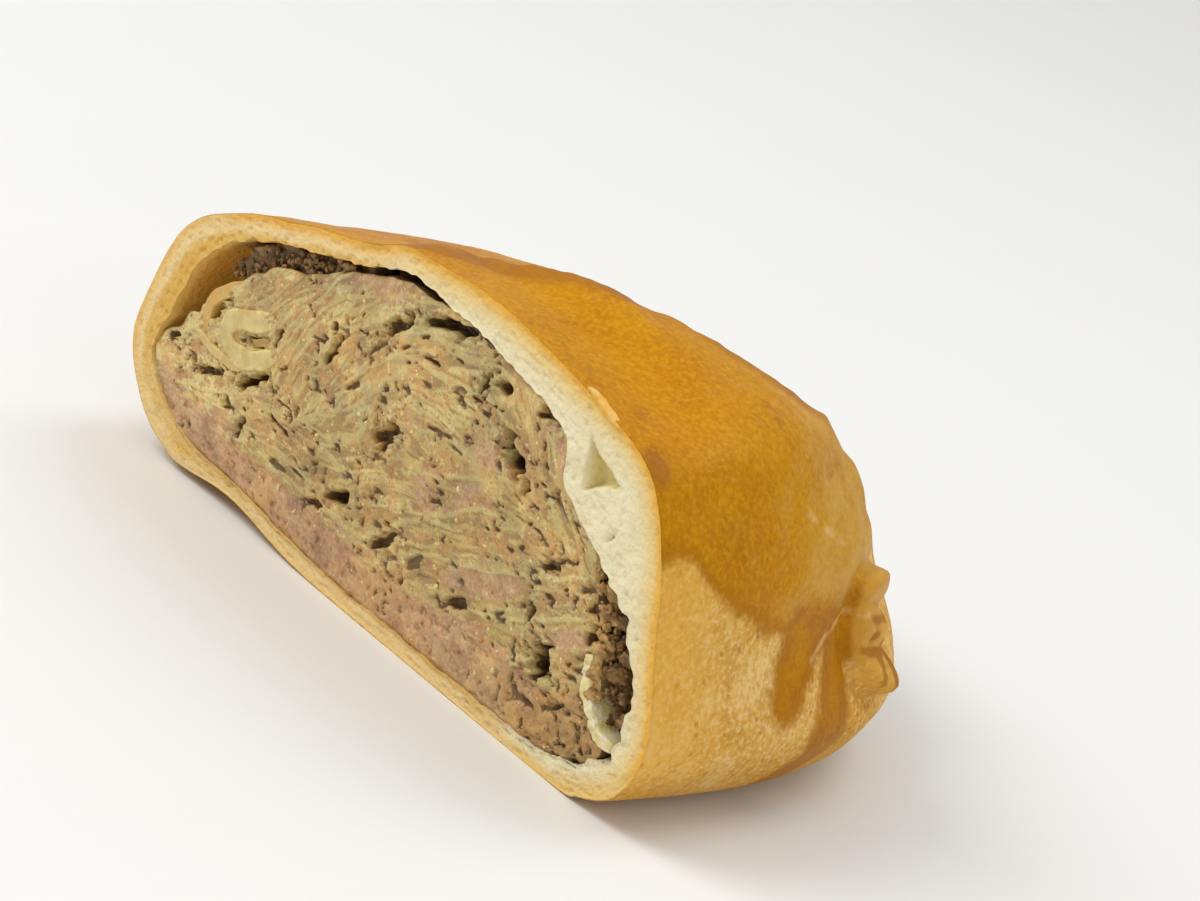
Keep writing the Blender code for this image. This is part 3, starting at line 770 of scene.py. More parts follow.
def streaks(flat, size, seed):
    """Fine streaks along the folds, about -1 to 1: noise averaged along the way that the folds run."""
    angle = fold_angle(flat + 1.2 * drift(flat, 5, seed + 1, seed + 2))
    angle = angle + 0.35 * noise(flat, 3.5, seed + 3)
    way = np.stack([np.cos(angle), np.sin(angle)], -1)
    steps = np.arange(-7, 8) * 0.32
    return np.mean([noise(flat + step * way, size, seed) for step in steps], 0) * 2.4


def lay_leaves(flat, strokes):
    """Height of the highest leaf edge at each place on the face, its tone, and how far inside its outline
    the place is. A leaf edge is a rounded bar along its line that thins out at both ends."""
    warped = flat + 0.28 * drift(flat, 2.4, 5, 6)
    warped += 0.1 * drift(flat, 0.9, 7, 8)
    height = np.full(len(flat), -1.0)
    tone = np.zeros(len(flat))
    inside = np.zeros(len(flat))
    for line, thick, level, shade in strokes:
        near = np.flatnonzero(((warped > line.min(0) - thick) & (warped < line.max(0) + thick)).all(1))
        start, run = line[:-1], np.diff(line, axis=0)
        share = np.clip(((warped[near, None] - start) * run).sum(-1) / (run**2).sum(-1), 0, 1)
        gap = np.linalg.norm(warped[near, None] - (start + share[..., None] * run), axis=-1)
        best = gap.argmin(1)
        rows = np.arange(len(near))
        place = (best + share[rows, best]) / len(run)
        taper = np.clip(4 * place * (1 - place), 0, 1) ** 0.35
        half = thick / 2 * (0.45 + 0.55 * taper)
        out = gap[rows, best] / half
        rise = 0.42 + 0.2 * level + 0.04 * np.sqrt(np.clip(1 - out**2, 0, 1)) - 0.04 * (1 - taper)
        rise = np.where(out < 1, rise, -1)
        wins = rise > height[near]
        spots = near[wins]
        height[spots], tone[spots], inside[spots] = rise[wins], shade, ((1 - out) * half)[wins]
    return height, tone, inside


def hollow_depth(flat, waver):
    """Depth of the torn hollows in the face, and how near each place is to one, 0 to 1."""
    gaps = [ellipse(flat, hole[:2], *hole[2:5]) + waver for hole in HOLLOWS]
    depth = np.max([hole[5] * smooth_step(1.12, 0.6, gap) for hole, gap in zip(HOLLOWS, gaps)], 0)
    near = np.max([smooth_step(2.4, 1.0, gap) * min(hole[2] / 2, 1) for hole, gap in zip(HOLLOWS, gaps)], 0)
    return depth, near


def face_look(flat, settings):
    """Depth of the cut filling behind the knife's plane in millimetres, and its marks: leaf edges over
    crumbled meat, with pits."""
    height, tone, inside = lay_leaves(flat, leaf_strokes(settings))
    tone = tone + 1.6 * smooth_step(-33, -42, flat[:, 0])
    near, number = crumbs(flat + 0.5 * drift(flat, 2, 70, 71), 1.15, 72)
    pink = pink_share(flat, 1.4, 0.5, 0.4 * noise(flat, 3, 95))
    low = smooth_step(13, 10.5, flat[:, 1] + 1.5 * noise(flat, 4, 96)) * smooth_step(44, 30, flat[:, 0])
    pink = np.maximum(pink, low)
    streak = streaks(flat, 0.55, 97)
    pit, edge = hollow_depth(flat, 0.5 * noise(flat, 1.7, 90) + 0.4 * noise(flat, 0.75, 91))
    loose = noise(flat, 6, 98) + 0.6 * noise(flat, 2.6, 99) + 0.75 * edge - 0.3 * pink
    crumbly = smooth_step(0.0, 0.5, loose)
    base = 0.52 - 0.1 * near + 0.06 * number + 0.1 * fractal(flat, 2.4, 81, 2) + 0.06 * pink
    base += crumbly * (0.06 + 0.16 * number - 0.2 * near)
    leaf = (height > base) * 1.0
    top = np.maximum(height, base) + 0.03 * fractal(flat, 0.9, 80, 2) + 0.03 * streak
    top += 0.12 * noise(flat, 5, 89)
    holes = smooth_step(0.38, 0.6, fractal(flat * [0.8, 1], 0.85, 76, 2)) * smooth_step(0.2, 0.8, crumbly)
    slits = smooth_step(0.7, 0.9, streaks(flat, 0.8, 87))
    slits = slits * smooth_step(0.4, 0.7, noise(flat, 3.2, 88) + 0.4) * (pink < 0.5)
    depth = 0.85 - top + pit + 0.6 * np.maximum(holes, slits)
    return {"depth": depth, "leaf": leaf, "tone": tone, "inside": inside, "pink": pink, "streak": streak,
            "crumbly": crumbly}


def patch_in_outline(edge_right, edge_left, low, high):
    """Fills the outline of a cut face with a grid, as a Coons patch: the outline's stations up to low make
    the bottom, low to high the sides, and the rest the top. Gives points and, for each side of the grid,
    which (end, station) it shares."""
    count = len(edge_right)
    bottom = [("left", k) for k in range(low, 0, -1)] + [("right", k) for k in range(low + 1)]
    top = [("left", k) for k in range(high, count - 1)]
    top += [("right", k) for k in range(count - 1, high - 1, -1)]
    left = [("left", k) for k in range(low, high + 1)]
    right = [("right", k) for k in range(low, high + 1)]
    edges = {"left": edge_left, "right": edge_right}
    bottom_line, top_line, left_line, right_line = (
        np.array([edges[end][k] for end, k in side]) for side in (bottom, top, left, right))
    u = np.linspace(0, 1, len(bottom))[None, :, None]
    v = np.linspace(0, 1, len(left))[:, None, None]
    flat = (1 - v) * bottom_line[None] + v * top_line[None]
    flat = flat + (1 - u) * left_line[:, None] + u * right_line[:, None]
    flat -= (1 - u) * (1 - v) * bottom_line[0] + u * (1 - v) * bottom_line[-1]
    flat -= (1 - u) * v * top_line[0] + u * v * top_line[-1]
    return flat, bottom, top, left, right


def blurred(grid, reach):
    """The grid averaged twice over squares of 2 reach + 1 cells."""
    for _ in range(2):
        for axis in (0, 1):
            width = [(reach + 1, reach) if axis == side else (0, 0) for side in (0, 1)]
            total = np.cumsum(np.pad(grid, width, mode="edge"), axis=axis)
            count = grid.shape[axis]
            span = 2 * reach + 1
            ahead = np.take(total, range(span, span + count), axis)
            grid = (ahead - np.take(total, range(count), axis)) / span
    return grid


def sag(points):
    """Lets the line between filling and bottom meat wander up and down: noise along it times a bell,
    exp(-t^2), of the height over or under 9 mm."""
    bent = points.copy()
    place = np.stack([points[..., 0], points[..., 1] * 0.3], -1)
    bell = np.exp(-(((points[..., 2] - 9 * MM) / (4 * MM)) ** 2))
    bent[..., 2] += 1.1 * MM * noise(place, 13 * MM, 45) * bell
    return bent


def make_cut_body(name, sides, knots, counts, look, material):
    """A body under the crust: a dome behind the cut and a relief face on it, one closed mesh.

    counts are the steps between the outline's knots, and the face's corners sit at the two middle knots.
    """
    low, high = counts[0], counts[0] + counts[1]
    dome = sag(half_dome(sides, FILL_DEPTH, turn_angles(FILL_TURNS), stations(sides[0], knots, counts)))
    ends = smooth_step(36 * MM, 46 * MM, np.abs(dome[..., 0]))
    above = smooth_step(9 * MM, 15 * MM, dome[..., 2])
    torn = (0.45 + 0.9 * ends * above) * MM * fractal(dome, 3.4 * MM, 61, 2)
    dome = dome + outward(dome) * [1, 0.2, 1] * torn[..., None]
    face, bottom, top, left, right = patch_in_outline(dome[0], dome[-1], low, high)
    marks = look(face[..., [0, 2]].reshape(-1, 2) / MM)
    face[..., 2] += FILL_DENT * base_dent(face)
    dome[..., 2] += FILL_DENT * base_dent(dome)
    rows, columns = face.shape[:2]
    depths = marks["depth"].reshape(rows, columns)
    # Depth against its surroundings, by which the look paints shade in hollows and highlight on ridges
    marks["cavity"] = (depths - blurred(depths, CAVITY_REACH)).ravel()
    row, column = np.meshgrid(np.arange(rows), np.arange(columns), indexing="ij")
    edge = np.minimum(np.minimum(row, rows - 1 - row), np.minimum(column, columns - 1 - column))
    fade = smooth_step(-1, 5, edge)
    face[..., 1] = depths * MM * fade + RECESS * (1 - fade)
    dome[..., 1] += RECESS * smooth_step(4 * MM, 0, dome[..., 1])
    dome[[0, -1], :, 1] = RECESS
    size = dome.shape[0] * dome.shape[1]
    dome_index = shared_ends(np.arange(size).reshape(dome.shape[:2]))
    face_index = size + np.arange(rows * columns).reshape(rows, columns)
    ends_of = {"left": dome_index[-1], "right": dome_index[0]}
    for place, side in ((np.s_[0], bottom), (np.s_[-1], top), (np.s_[:, 0], left), (np.s_[:, -1], right)):
        face_index[place] = [ends_of[end][k] for end, k in side]
    points = lean(np.concatenate([dome.reshape(-1, 3), face.reshape(-1, 3)]))
    faces = [grid_faces(dome_index, points, outward(points)), grid_faces(face_index, points, (0, -1, 0))]
    marks = {mark: np.concatenate([np.full(size, BACK_MARK * (mark == "depth")), numbers])
             for mark, numbers in marks.items()}
    return new_piece(name, points, faces, marks, material, name)


def make_filling(settings, material):
    """The cabbage and meat above the bottom layer."""
    side = settings.face_columns // 2
    return make_cut_body("filling", (RIGHT_FILL, LEFT_FILL, BACK_FILL), [0, 3.2, 7.4, 10],
                         [side, settings.face_rows, side], lambda flat: face_look(flat, settings),
                         material)


def meat_look(flat):
    """Depth and marks of the pink bottom layer: close-grained, streaked along its length, and crumbled
    where the pink fades out at its right end."""
    streak = fractal(flat * [0.35, 1], 1.6, 82, 3)
    near, number = crumbs(flat + 0.6 * drift(flat, 2, 73, 74), 1.3, 75)
    crumbly = smooth_step(26, 40, flat[:, 0] + 4 * noise(flat, 5, 79))
    crumbly += 0.5 * smooth_step(0.3, 0.7, noise(flat, 5, 84))
    depth = 0.4 - 0.12 * streak + (0.25 * near - 0.15 * number) * (0.25 + crumbly)
    depth += 0.06 * fractal(flat, 0.9, 83, 2)
    holes = smooth_step(0.35, 0.6, fractal(flat, 0.9, 86, 2)) * (0.25 + crumbly)
    pit, _ = hollow_depth(flat, 0.22 * noise(flat, 1.6, 90))
    zero = np.zeros(len(flat))
    pink = smooth_step(44, 28, flat[:, 0] + 4 * noise(flat, 4, 85))
    return {"depth": depth + pit + 0.7 * holes, "leaf": zero, "tone": streak, "inside": zero, "pink": pink,
            "streak": streak, "crumbly": crumbly}


def make_bottom_meat(settings, material):
    """The layer of pink meat along the base."""
    side = settings.face_columns // 2
    return make_cut_body("bottom_meat", (RIGHT_MEAT, LEFT_MEAT, BACK_MEAT), [0, 2.7, 5.2, 7],
                         [side, settings.meat_rows, side], meat_look, material)


# ---------------------------------------------------------------- single leaves

def make_leaf(name, route, thick, reach, proud, tan, seed, material, replaces=None, crumbly=0.0):
    """A leaf seen on edge, or a bed of crumbs: a flat bar carried along its route, thin at both ends.

    Across the route its section is the superellipse |n/a|^p + |y/b|^p = 1, with p LEAF_POWER, a the half
    thickness and b half the way from its front to its back. The route, a and the front waver, and a shallow
    groove runs down the front. A crumbly one is also pitted between lumps about a millimetre across.
    """
    count, around = 90, 48
    line = curve(route, count)
    tangent = np.gradient(line, axis=0)
    tangent /= np.linalg.norm(tangent, axis=1, keepdims=True)
    normal = np.stack([-tangent[:, 1], tangent[:, 0]], -1)
    place = np.linspace(0, 1, count)
    places = np.stack([place * 20, np.full(count, seed * 3.7)], -1)
    taper = np.clip(4 * place * (1 - place), 0, 1) ** 0.3
    taper[[0, -1]] = 0
    half = thick / 2 * (0.5 + 0.5 * taper) * (1 + 0.14 * noise(places, 2.3, seed)) * (taper > 0)
    front = -proud + 0.22 * noise(places, 2.9, seed + 1) + 0.8 * (1 - taper)
    line = line + normal * (0.2 * noise(places, 2.4, seed + 2))[:, None]
    angle = np.linspace(0, 2 * np.pi, around, endpoint=False)
    circle = np.cos(angle), np.sin(angle)
    across, inward = (np.sign(part) * np.abs(part) ** (2 / LEAF_POWER) for part in circle)
    middle, deep = (front + reach) / 2, (reach - front) / 2 * (taper > 0)
    flat = line[:, None] + normal[:, None] * (half[:, None] * across)[..., None]
    y = middle[:, None] + deep[:, None] * inward
    y = y + 0.07 * fractal(flat, 0.8, seed + 3, 2) + 0.16 * np.exp(-((across / 0.4) ** 2)) * (inward < 0)
    near, number = crumbs(flat + 0.6 * drift(flat, 2, seed, seed + 5), 1.3, seed)
    y = y + crumbly * (near - 0.7 * number + 0.7 * fractal(flat, 2.2, seed + 4, 3))
    y[[0, -1]] = middle[[0, -1], None]
    flat[[0, -1]] = line[[0, -1], None]
    points = lean(np.stack([flat[..., 0], y, flat[..., 1]], -1).reshape(-1, 3) * MM)
    index = np.arange(count * around).reshape(count, around)
    index[0], index[-1] = index[0, 0], index[-1, 0]
    index = np.hstack([index, index[:, :1]])
    centre = lean(np.stack([line[:, 0], middle, line[:, 1]], -1) * MM)
    away = points - np.repeat(centre, around, axis=0)
    faces = [grid_faces(index, points, away)]
    ribs = np.broadcast_to(across, (count, around))
    marks = {"rib": ribs.reshape(-1), "depth": y.reshape(-1), "tan": np.full(len(points), tan)}
    return new_piece(name, points, faces, marks, material, replaces)


def make_lumps(name, centres, sizes, detail, seed, material):
    """Rough lumps as one mesh: balls whose radius wavers, r = s (1 + 0.5 n + 0.4 m) with n a broad and m a
    fine noise, each stretched a little its own way. Centres and sizes in millimetres."""
    tilt = np.linspace(0, np.pi, detail)[:, None]
    turn = np.linspace(0, 2 * np.pi, detail + 3, endpoint=False)
    ball = np.stack([np.sin(tilt) * np.cos(turn), np.sin(tilt) * np.sin(turn), np.cos(tilt) + 0 * turn], -1)
    random = np.random.default_rng(seed)
    shape = random.uniform(0.6, 1.4, (len(centres), 1, 1, 3))
    apart = ball + 5.0 * np.arange(len(centres))[:, None, None, None]
    radius = sizes[:, None, None] * (1 + 0.5 * noise(apart, 0.8, seed) + 0.4 * noise(apart, 0.35, seed + 1))
    away = ball * shape * radius[..., None]
    points = lean((centres[:, None, None] + away).reshape(-1, 3) * MM)
    index = np.arange(len(points)).reshape(radius.shape)
    index[:, 0], index[:, -1] = index[:, 0, :1], index[:, -1, :1]
    index = np.concatenate([index, index[..., :1]], -1)
    faces = [grid_faces(grid, points, away.reshape(-1, 3)) for grid in index]
    return new_piece(name, points, faces, {}, material)


def scatter_on_face(settings, count, small, large, seed):
    """Places on the filling's face and each place's lump size: even over the face, none in its hollows."""
    random = np.random.default_rng(seed)
    flat = random.uniform(*GRAIN_FIELD, (3 * count, 2))
    roof = np.interp(flat[:, 0], *np.array(GRAIN_ROOF).T)
    depth = face_look(flat, settings)["depth"]
    kept = np.flatnonzero((flat[:, 1] < roof) & (depth < 0.9))[:count]
    places = np.stack([flat[kept, 0], depth[kept] + 0.1, flat[kept, 1]], -1)
    return places, random.uniform(small, large, len(kept))


def scatter_on_route(seed, route, count, spread, sizes, inward):
    """Places round a route over the face and each place's lump size, of which few are large."""
    random = np.random.default_rng(seed)
    flat = curve(route, count) + random.normal(0, spread / 2, (count, 2))
    places = np.stack([flat[:, 0], random.uniform(*inward, count), flat[:, 1]], -1)
    small, large = sizes
    return places, small + (large - small) * random.random(count) ** 2.5


# ---------------------------------------------------------------- materials

class Value:
    """A number from a node socket. Python's + - * on it add Math nodes."""

    def __init__(self, look, socket):
        self.look = look
        self.socket = socket

    def math(self, operation, *terms):
        """The result of a Math node on these terms."""
        node = self.look.add("ShaderNodeMath", {"operation": operation}, dict(enumerate(terms)))
        return Value(self.look, node.outputs[0])

    def __add__(self, other):
        return self.math("ADD", self, other)

    def __sub__(self, other):
        return self.math("SUBTRACT", self, other)

    def __rsub__(self, other):
        return self.math("SUBTRACT", other, self)

    def __mul__(self, other):
        return self.math("MULTIPLY", self, other)

    __radd__ = __add__
    __rmul__ = __mul__

    def step(self, low, high):
        """Rises from 0 at low to 1 at high, or falls if low is the greater."""
        node = self.look.add("ShaderNodeMapRange", {"interpolation_type": "SMOOTHSTEP"},
                             {"Value": self, "From Min": low, "From Max": high})
        return Value(self.look, node.outputs[0])


class Look:
    """A material and its nodes."""

    def __init__(self, name, **constants):
        self.material = bpy.data.materials.new(name)
        self.material.use_nodes = True
        self.tree = self.material.node_tree
        self.surface = self.tree.nodes["Principled BSDF"]
        for socket, value in constants.items():
            self.surface.inputs[socket.replace("_", " ")].default_value = value
        self.place = self.add("ShaderNodeTexCoord").outputs["Object"]

    def add(self, kind, settings=None, values=None):
        """A node of that type, with its settings, then each socket's value or link."""
        node = self.tree.nodes.new(kind)
        for name, setting in (settings or {}).items():
            setattr(node, name, setting)
        for socket, value in (values or {}).items():
            self.set(node.inputs[socket], value)
        return node

    def set(self, socket, value):
        """Links a value or another node's socket to a socket, or gives it a number or a colour."""
        if isinstance(value, Value):
            self.tree.links.new(value.socket, socket)
        elif isinstance(value, bpy.types.NodeSocket):
            self.tree.links.new(value, socket)
        elif socket.type == "RGBA":
            socket.default_value = (*value, 1)
        else:
            socket.default_value = value

    def marks(self, names):
        """The numbers that the mesh holds at its points under these names, in order."""
        nodes = [self.add("ShaderNodeAttribute", {"attribute_name": name}) for name in names.split()]
        return [Value(self, node.outputs["Fac"]) for node in nodes]

    def grain(self, size, detail=2.0, roughness=0.5):
        """Noise from 0 to 1 with features of about that many millimetres."""
        node = self.add("ShaderNodeTexNoise", None, {
            "Vector": self.place, "Scale": 1 / (size * MM), "Detail": detail, "Roughness": roughness})
        return Value(self, node.outputs[0])

    def dots(self, size):
        """Distance to the nearest of many scattered points, in units of their spacing."""
        node = self.add("ShaderNodeTexVoronoi", None, {"Vector": self.place, "Scale": 1 / (size * MM)})
        return Value(self, node.outputs[0])

    def mix(self, share, first, second):
        """A colour between two, by a share from 0 to 1."""
        node = self.add("ShaderNodeMix", {"data_type": "RGBA"}, {0: share, 6: first, 7: second})
        return node.outputs[2]

    def layers(self, colour, *layers):
        """A colour with others laid over it in turn, each by its share from 0 to 1."""
        for share, over in layers:
            colour = self.mix(share, colour, over)
        return colour

    def shade(self, colour, amount):
        """A colour times a number that varies."""
        grey = self.add("ShaderNodeCombineColor", None, {0: amount, 1: amount, 2: amount}).outputs[0]
        settings = {"data_type": "RGBA", "blend_type": "MULTIPLY"}
        return self.add("ShaderNodeMix", settings, {0: 1.0, 6: colour, 7: grey}).outputs[2]

    def bump(self, height, strength):
        """Relief of that height in millimetres, on the surface's normal."""
        node = self.add("ShaderNodeBump", None, {"Height": height, "Distance": MM, "Strength": strength})
        self.set(self.surface.inputs["Normal"], node.outputs[0])

    def finish(self, colour, roughness):
        """Gives the surface its colour and roughness."""
        self.set(self.surface.inputs["Base Color"], colour)
        self.set(self.surface.inputs["Roughness"], roughness)


def skirt_colour(look, settings, grains, knob, low, front):
    """Floury dough below the glaze: pale and browned blotches and flecks, more golden beside the cut."""
    _, small, broad, mottle, speck = grains
    return look.layers(
        settings.skirt,
        (broad.step(0.35, 0.65), settings.skirt_low),
        ((broad + small * 0.5).step(0.72, 0.5) * 0.45, settings.skirt_pale),
        (small.step(0.5, 0.68) * 0.45, settings.skirt_brown),
        (mottle.step(0.5, 0.66) * 0.35, settings.skirt_brown),
        (speck.step(0.5, 0.36) * 0.6, settings.skirt_pale),
        (speck.step(0.52, 0.66) * 0.5, settings.skirt_brown),
        (look.dots(2.6).step(0.2, 0.08) * 0.6, settings.browned),
        (low * 0.35, settings.skirt_brown),
        (knob.step(0.1, 0.5) * 0.6, settings.skirt_low),
        (front * (1 - low) * 0.55, settings.skirt_golden))


def glaze_colour(look, settings, grains, glazed, knob, far, drip):
    """Egg glaze: blotches and flecks, darker where it pooled or ran down, paler where it is thin, with
    painted sheen there.
    """
    fine, small, broad, mottle, speck = grains
    colour = look.layers(
        settings.glaze,
        (broad.step(0.3, 0.7), settings.glaze_deep),
        (small.step(0.5, 0.8) * 0.4, settings.glaze_low),
        (look.grain(8, 4, 0.6).step(0.52, 0.72) * 0.5, settings.glaze_edge),
        (mottle.step(0.5, 0.64) * 0.3, settings.glaze_edge),
        (speck.step(0.5, 0.66) * 0.25, settings.glaze_edge),
        (speck.step(0.5, 0.36) * 0.4, settings.glaze_light),
        (glazed.step(3.5, 0.2) * 0.5, settings.glaze_edge),
        (drip * (small.step(0.3, 0.7) * 0.35 + 0.2), settings.glaze_edge),
        # Thinner glaze on the right, made paler still as painted sheen
        ((far + (small - 0.5) * 1.6 + (fine - 0.5) * 0.6).step(0.0, 1.5) * 0.75, settings.thin_glaze_and_sheen),
        (knob.step(0.1, 0.5) * 0.7, settings.skirt_low))
    return look.shade(colour, 0.78 + fine * 0.2 + mottle * 0.24)


def crumb_colour(look, settings, grains, skin, baked, hollow, left, low, pocket):
    """Cut dough, cream or more baked where thin, with a golden edge, and the hollows' walls, in painted
    shade past the left end.
    """
    fine, small = grains[:2]
    return look.layers(
        settings.crumb,
        ((baked + (small - 0.5) * 0.5).step(0.0, 1.0), settings.crumb_baked),
        (small.step(0.4, 0.75) * 0.3, settings.crumb_deep),
        ((skin + (small - 0.5) * 2.4).step(5.6, 0.8) * (1 - baked) * 0.8, settings.crumb_rim),
        ((skin + (small - 0.5) * 3).step(3.4, 2.0) * baked * 0.9, settings.flap),
        ((skin + (fine - 0.5) * 1.2).step(2.2, 0.2) * (1 - left * 0.5) * (1 - low * 0.8) * 0.85,
         settings.cut_edge),
        (hollow * 0.85, look.mix(baked, settings.hollow_pale, settings.hollow)),
        # Painted shade on the hollow's wall beyond the left end
        (hollow * (1 - left) * 0.7, settings.painted_crevice_shade),
        (pocket.step(0.3, -0.5) * 0.85, settings.pocket))


def crust_look(settings):
    """Amber egg glaze over a floury skirt outside; cream crumb with a golden edge at the cut; a painted
    glow in the hollow.
    """
    look = Look("crust", Specular_IOR_Level=0.06, Specular_Tint=(1.0, 0.75, 0.35, 1.0),
                Coat_Roughness=0.22, Emission_Strength=0.15)
    glazed, brown, knob, crease, far = look.marks("glaze brown knob crease far")
    front, drip, low, left = look.marks("front drip low left")
    skin, baked, hollow, pocket = look.marks("skin baked hollow pocket")
    kinds = ((0.7, 3), (3.5, 3), (17, 2), (1.3, 4, 0.65), (0.75, 3, 0.6))
    grains = [look.grain(*kind) for kind in kinds]
    fine, small, _, mottle, _ = grains
    skirt = skirt_colour(look, settings, grains, knob, low, front)
    glaze = glaze_colour(look, settings, grains, glazed, knob, far, drip)
    crumb = crumb_colour(look, settings, grains, skin, baked, hollow, left, low, pocket)
    on = (glazed + (fine - 0.5) * 2 + (small - 0.5) * 2.5).step(-1.5, 1.2)
    outside = look.layers(
        skirt,
        (on, glaze),
        (crease.step(0.9, 0.2) * on * small.step(0.3, 0.6) * 0.55, settings.skirt_pale),
        (brown.step(0.15, 1.0) * (0.45 + small * 0.6), settings.browned))
    at_cut = skin.step(0.02, 0.2)
    shine = on * (1 - at_cut)
    # Painted light: the hollow's left wall glows as if lit through thin dough
    painted_glow = look.mix(hollow * baked * left, (0.0, 0.0, 0.0), settings.hollow)
    look.set(look.surface.inputs["Coat Weight"], shine * 0.08)
    look.set(look.surface.inputs["Emission Color"], painted_glow)
    look.finish(look.mix(at_cut, outside, crumb), (1 - shine) * 0.3 + 0.46 + (fine - 0.5) * 0.2)
    skin_relief_mm = fine * 0.10 + small * 0.14 + mottle * (1 - on * 0.5) * 0.12
    cut_relief_mm = look.grain(0.9, 4) * 0.5
    look.bump(skin_relief_mm * (1 - at_cut) + cut_relief_mm * at_cut, 0.9)
    return look.material


def filling_look(settings, name):
    """Wet cabbage edges, cream to grey-green, over brown crumbled meat with pink patches; painted shade in
    pits.
    """
    look = Look(name, Specular_IOR_Level=0.5)
    leaf, tone, pink, depth, inside, cavity, streak, crumbly = look.marks(
        "leaf tone pink depth inside cavity streak crumbly")
    kinds = ((0.5, 3), (2.0, 3), (4.5, 3), (11, 2))
    fine, small, middle, broad = (look.grain(*kind) for kind in kinds)
    shade = tone * 1.15 + streak * 0.3 + (small - 0.5) * 0.9
    cabbage = look.layers(
        settings.leaf_dull,
        (shade.step(-0.9, -0.1), settings.leaf),
        (shade.step(-0.1, 0.6), settings.leaf_green),
        (shade.step(0.75, 1.3) * 0.8, settings.leaf_pale),
        (middle.step(0.5, 0.68) * 0.65, settings.leaf_stain_and_shade))
    rosy = (fine * 0.6 + small * 0.4 + streak * 0.12).step(0.35, 0.65)
    meat = look.layers(
        settings.meat_brown,
        ((small + streak * 0.1).step(0.35, 0.65), settings.meat_tan),
        (pink * 0.85, look.mix(rosy, settings.meat_pink, settings.meat_pale)),
        (broad.step(0.5, 0.65) * 0.5, settings.meat_tan))
    colour = look.layers(
        meat,
        (leaf, cabbage),
        (crumbly * middle.step(0.35, 0.6) * 0.5, settings.meat_brown),
        (look.grain(0.9, 2).step(0.56, 0.66) * broad.step(0.35, 0.6) * 0.8, settings.spice),
        (look.grain(1.4, 2).step(0.42, 0.34) * leaf * 0.5, settings.leaf_pale),
        (inside.step(0.16, 0.0) * leaf * 0.75, settings.leaf_edge),
        # Painted shade in the face's hollows, and a painted highlight on the ridges of leaves
        (cavity.step(0.04, 0.28) * 0.9, settings.painted_crevice_shade),
        (cavity.step(-0.04, -0.25) * leaf * 0.25, settings.leaf_pale),
        # Painted shade: tiny dark dots standing for pits that the mesh does not have
        (look.dots(0.75).step(0.28, 0.1) * (crumbly + 0.15) * 0.7, settings.painted_crevice_shade),
        (look.dots(1.7).step(0.13, 0.08) * 0.8, settings.fat),
        # Painted shade, near black, in the deep hollows and on the filling's back
        (depth.step(1.3, 3.4) * 0.9, settings.pit))
    colour = look.shade(colour, (middle + broad * 0.6).step(0.5, 1.1) * 0.44 + fine * 0.26 + 0.59)
    look.finish(colour, 0.52 - leaf * 0.12 + (small - 0.5) * 0.5)
    look.bump(fine * 0.16 + small * 0.12, 0.8)
    return look.material


def grain_look(name, pale, dark):
    """Moist grains, crumbs or torn dough in two shades."""
    look = Look(name, Specular_IOR_Level=0.3)
    patch, fine = look.grain(1.5, 3), look.grain(0.5, 2)
    look.finish(look.mix(patch.step(0.35, 0.65), dark, pale), 0.5 + (patch - 0.5) * 0.3)
    look.bump(fine * 0.2, 0.8)
    return look.material


def leaf_look(settings):
    """Pale boiled cabbage, green in its middle, golden where it is tanned, and darker, painted shade, where
    it goes in.
    """
    look = Look("leaf", Specular_IOR_Level=0.5)
    depth, rib, tan = look.marks("depth rib tan")
    fine, small = look.grain(0.5, 3), look.grain(2.5, 2)
    colour = look.layers(
        settings.leaf_pale,
        (small.step(0.4, 0.65), settings.leaf),
        ((rib * rib).step(0.8, 0.1) * 0.55, settings.leaf_green),
        (tan * (small + 0.5), settings.leaf_golden),
        # Painted shade: darker the deeper the leaf goes into the pasty
        (depth.step(0.6, 4.0) * 0.85, settings.leaf_stain_and_shade))
    look.finish(look.shade(colour, 0.92 + fine * 0.16), 0.42 + (fine - 0.5) * 0.2)
    look.bump(fine * 0.15 + rib * 0.02, 0.7)
    return look.material


# ---------------------------------------------------------------- add-on

def colour(name, description, value):
    """A colour property in linear light."""
    return bpy.props.FloatVectorProperty(name=name, description=description, default=value, size=3,
                                         subtype="COLOR", min=0, max=1)


def whole(name, description, value):
    """A whole-number property."""
    return bpy.props.IntProperty(name=name, description=description, default=value)


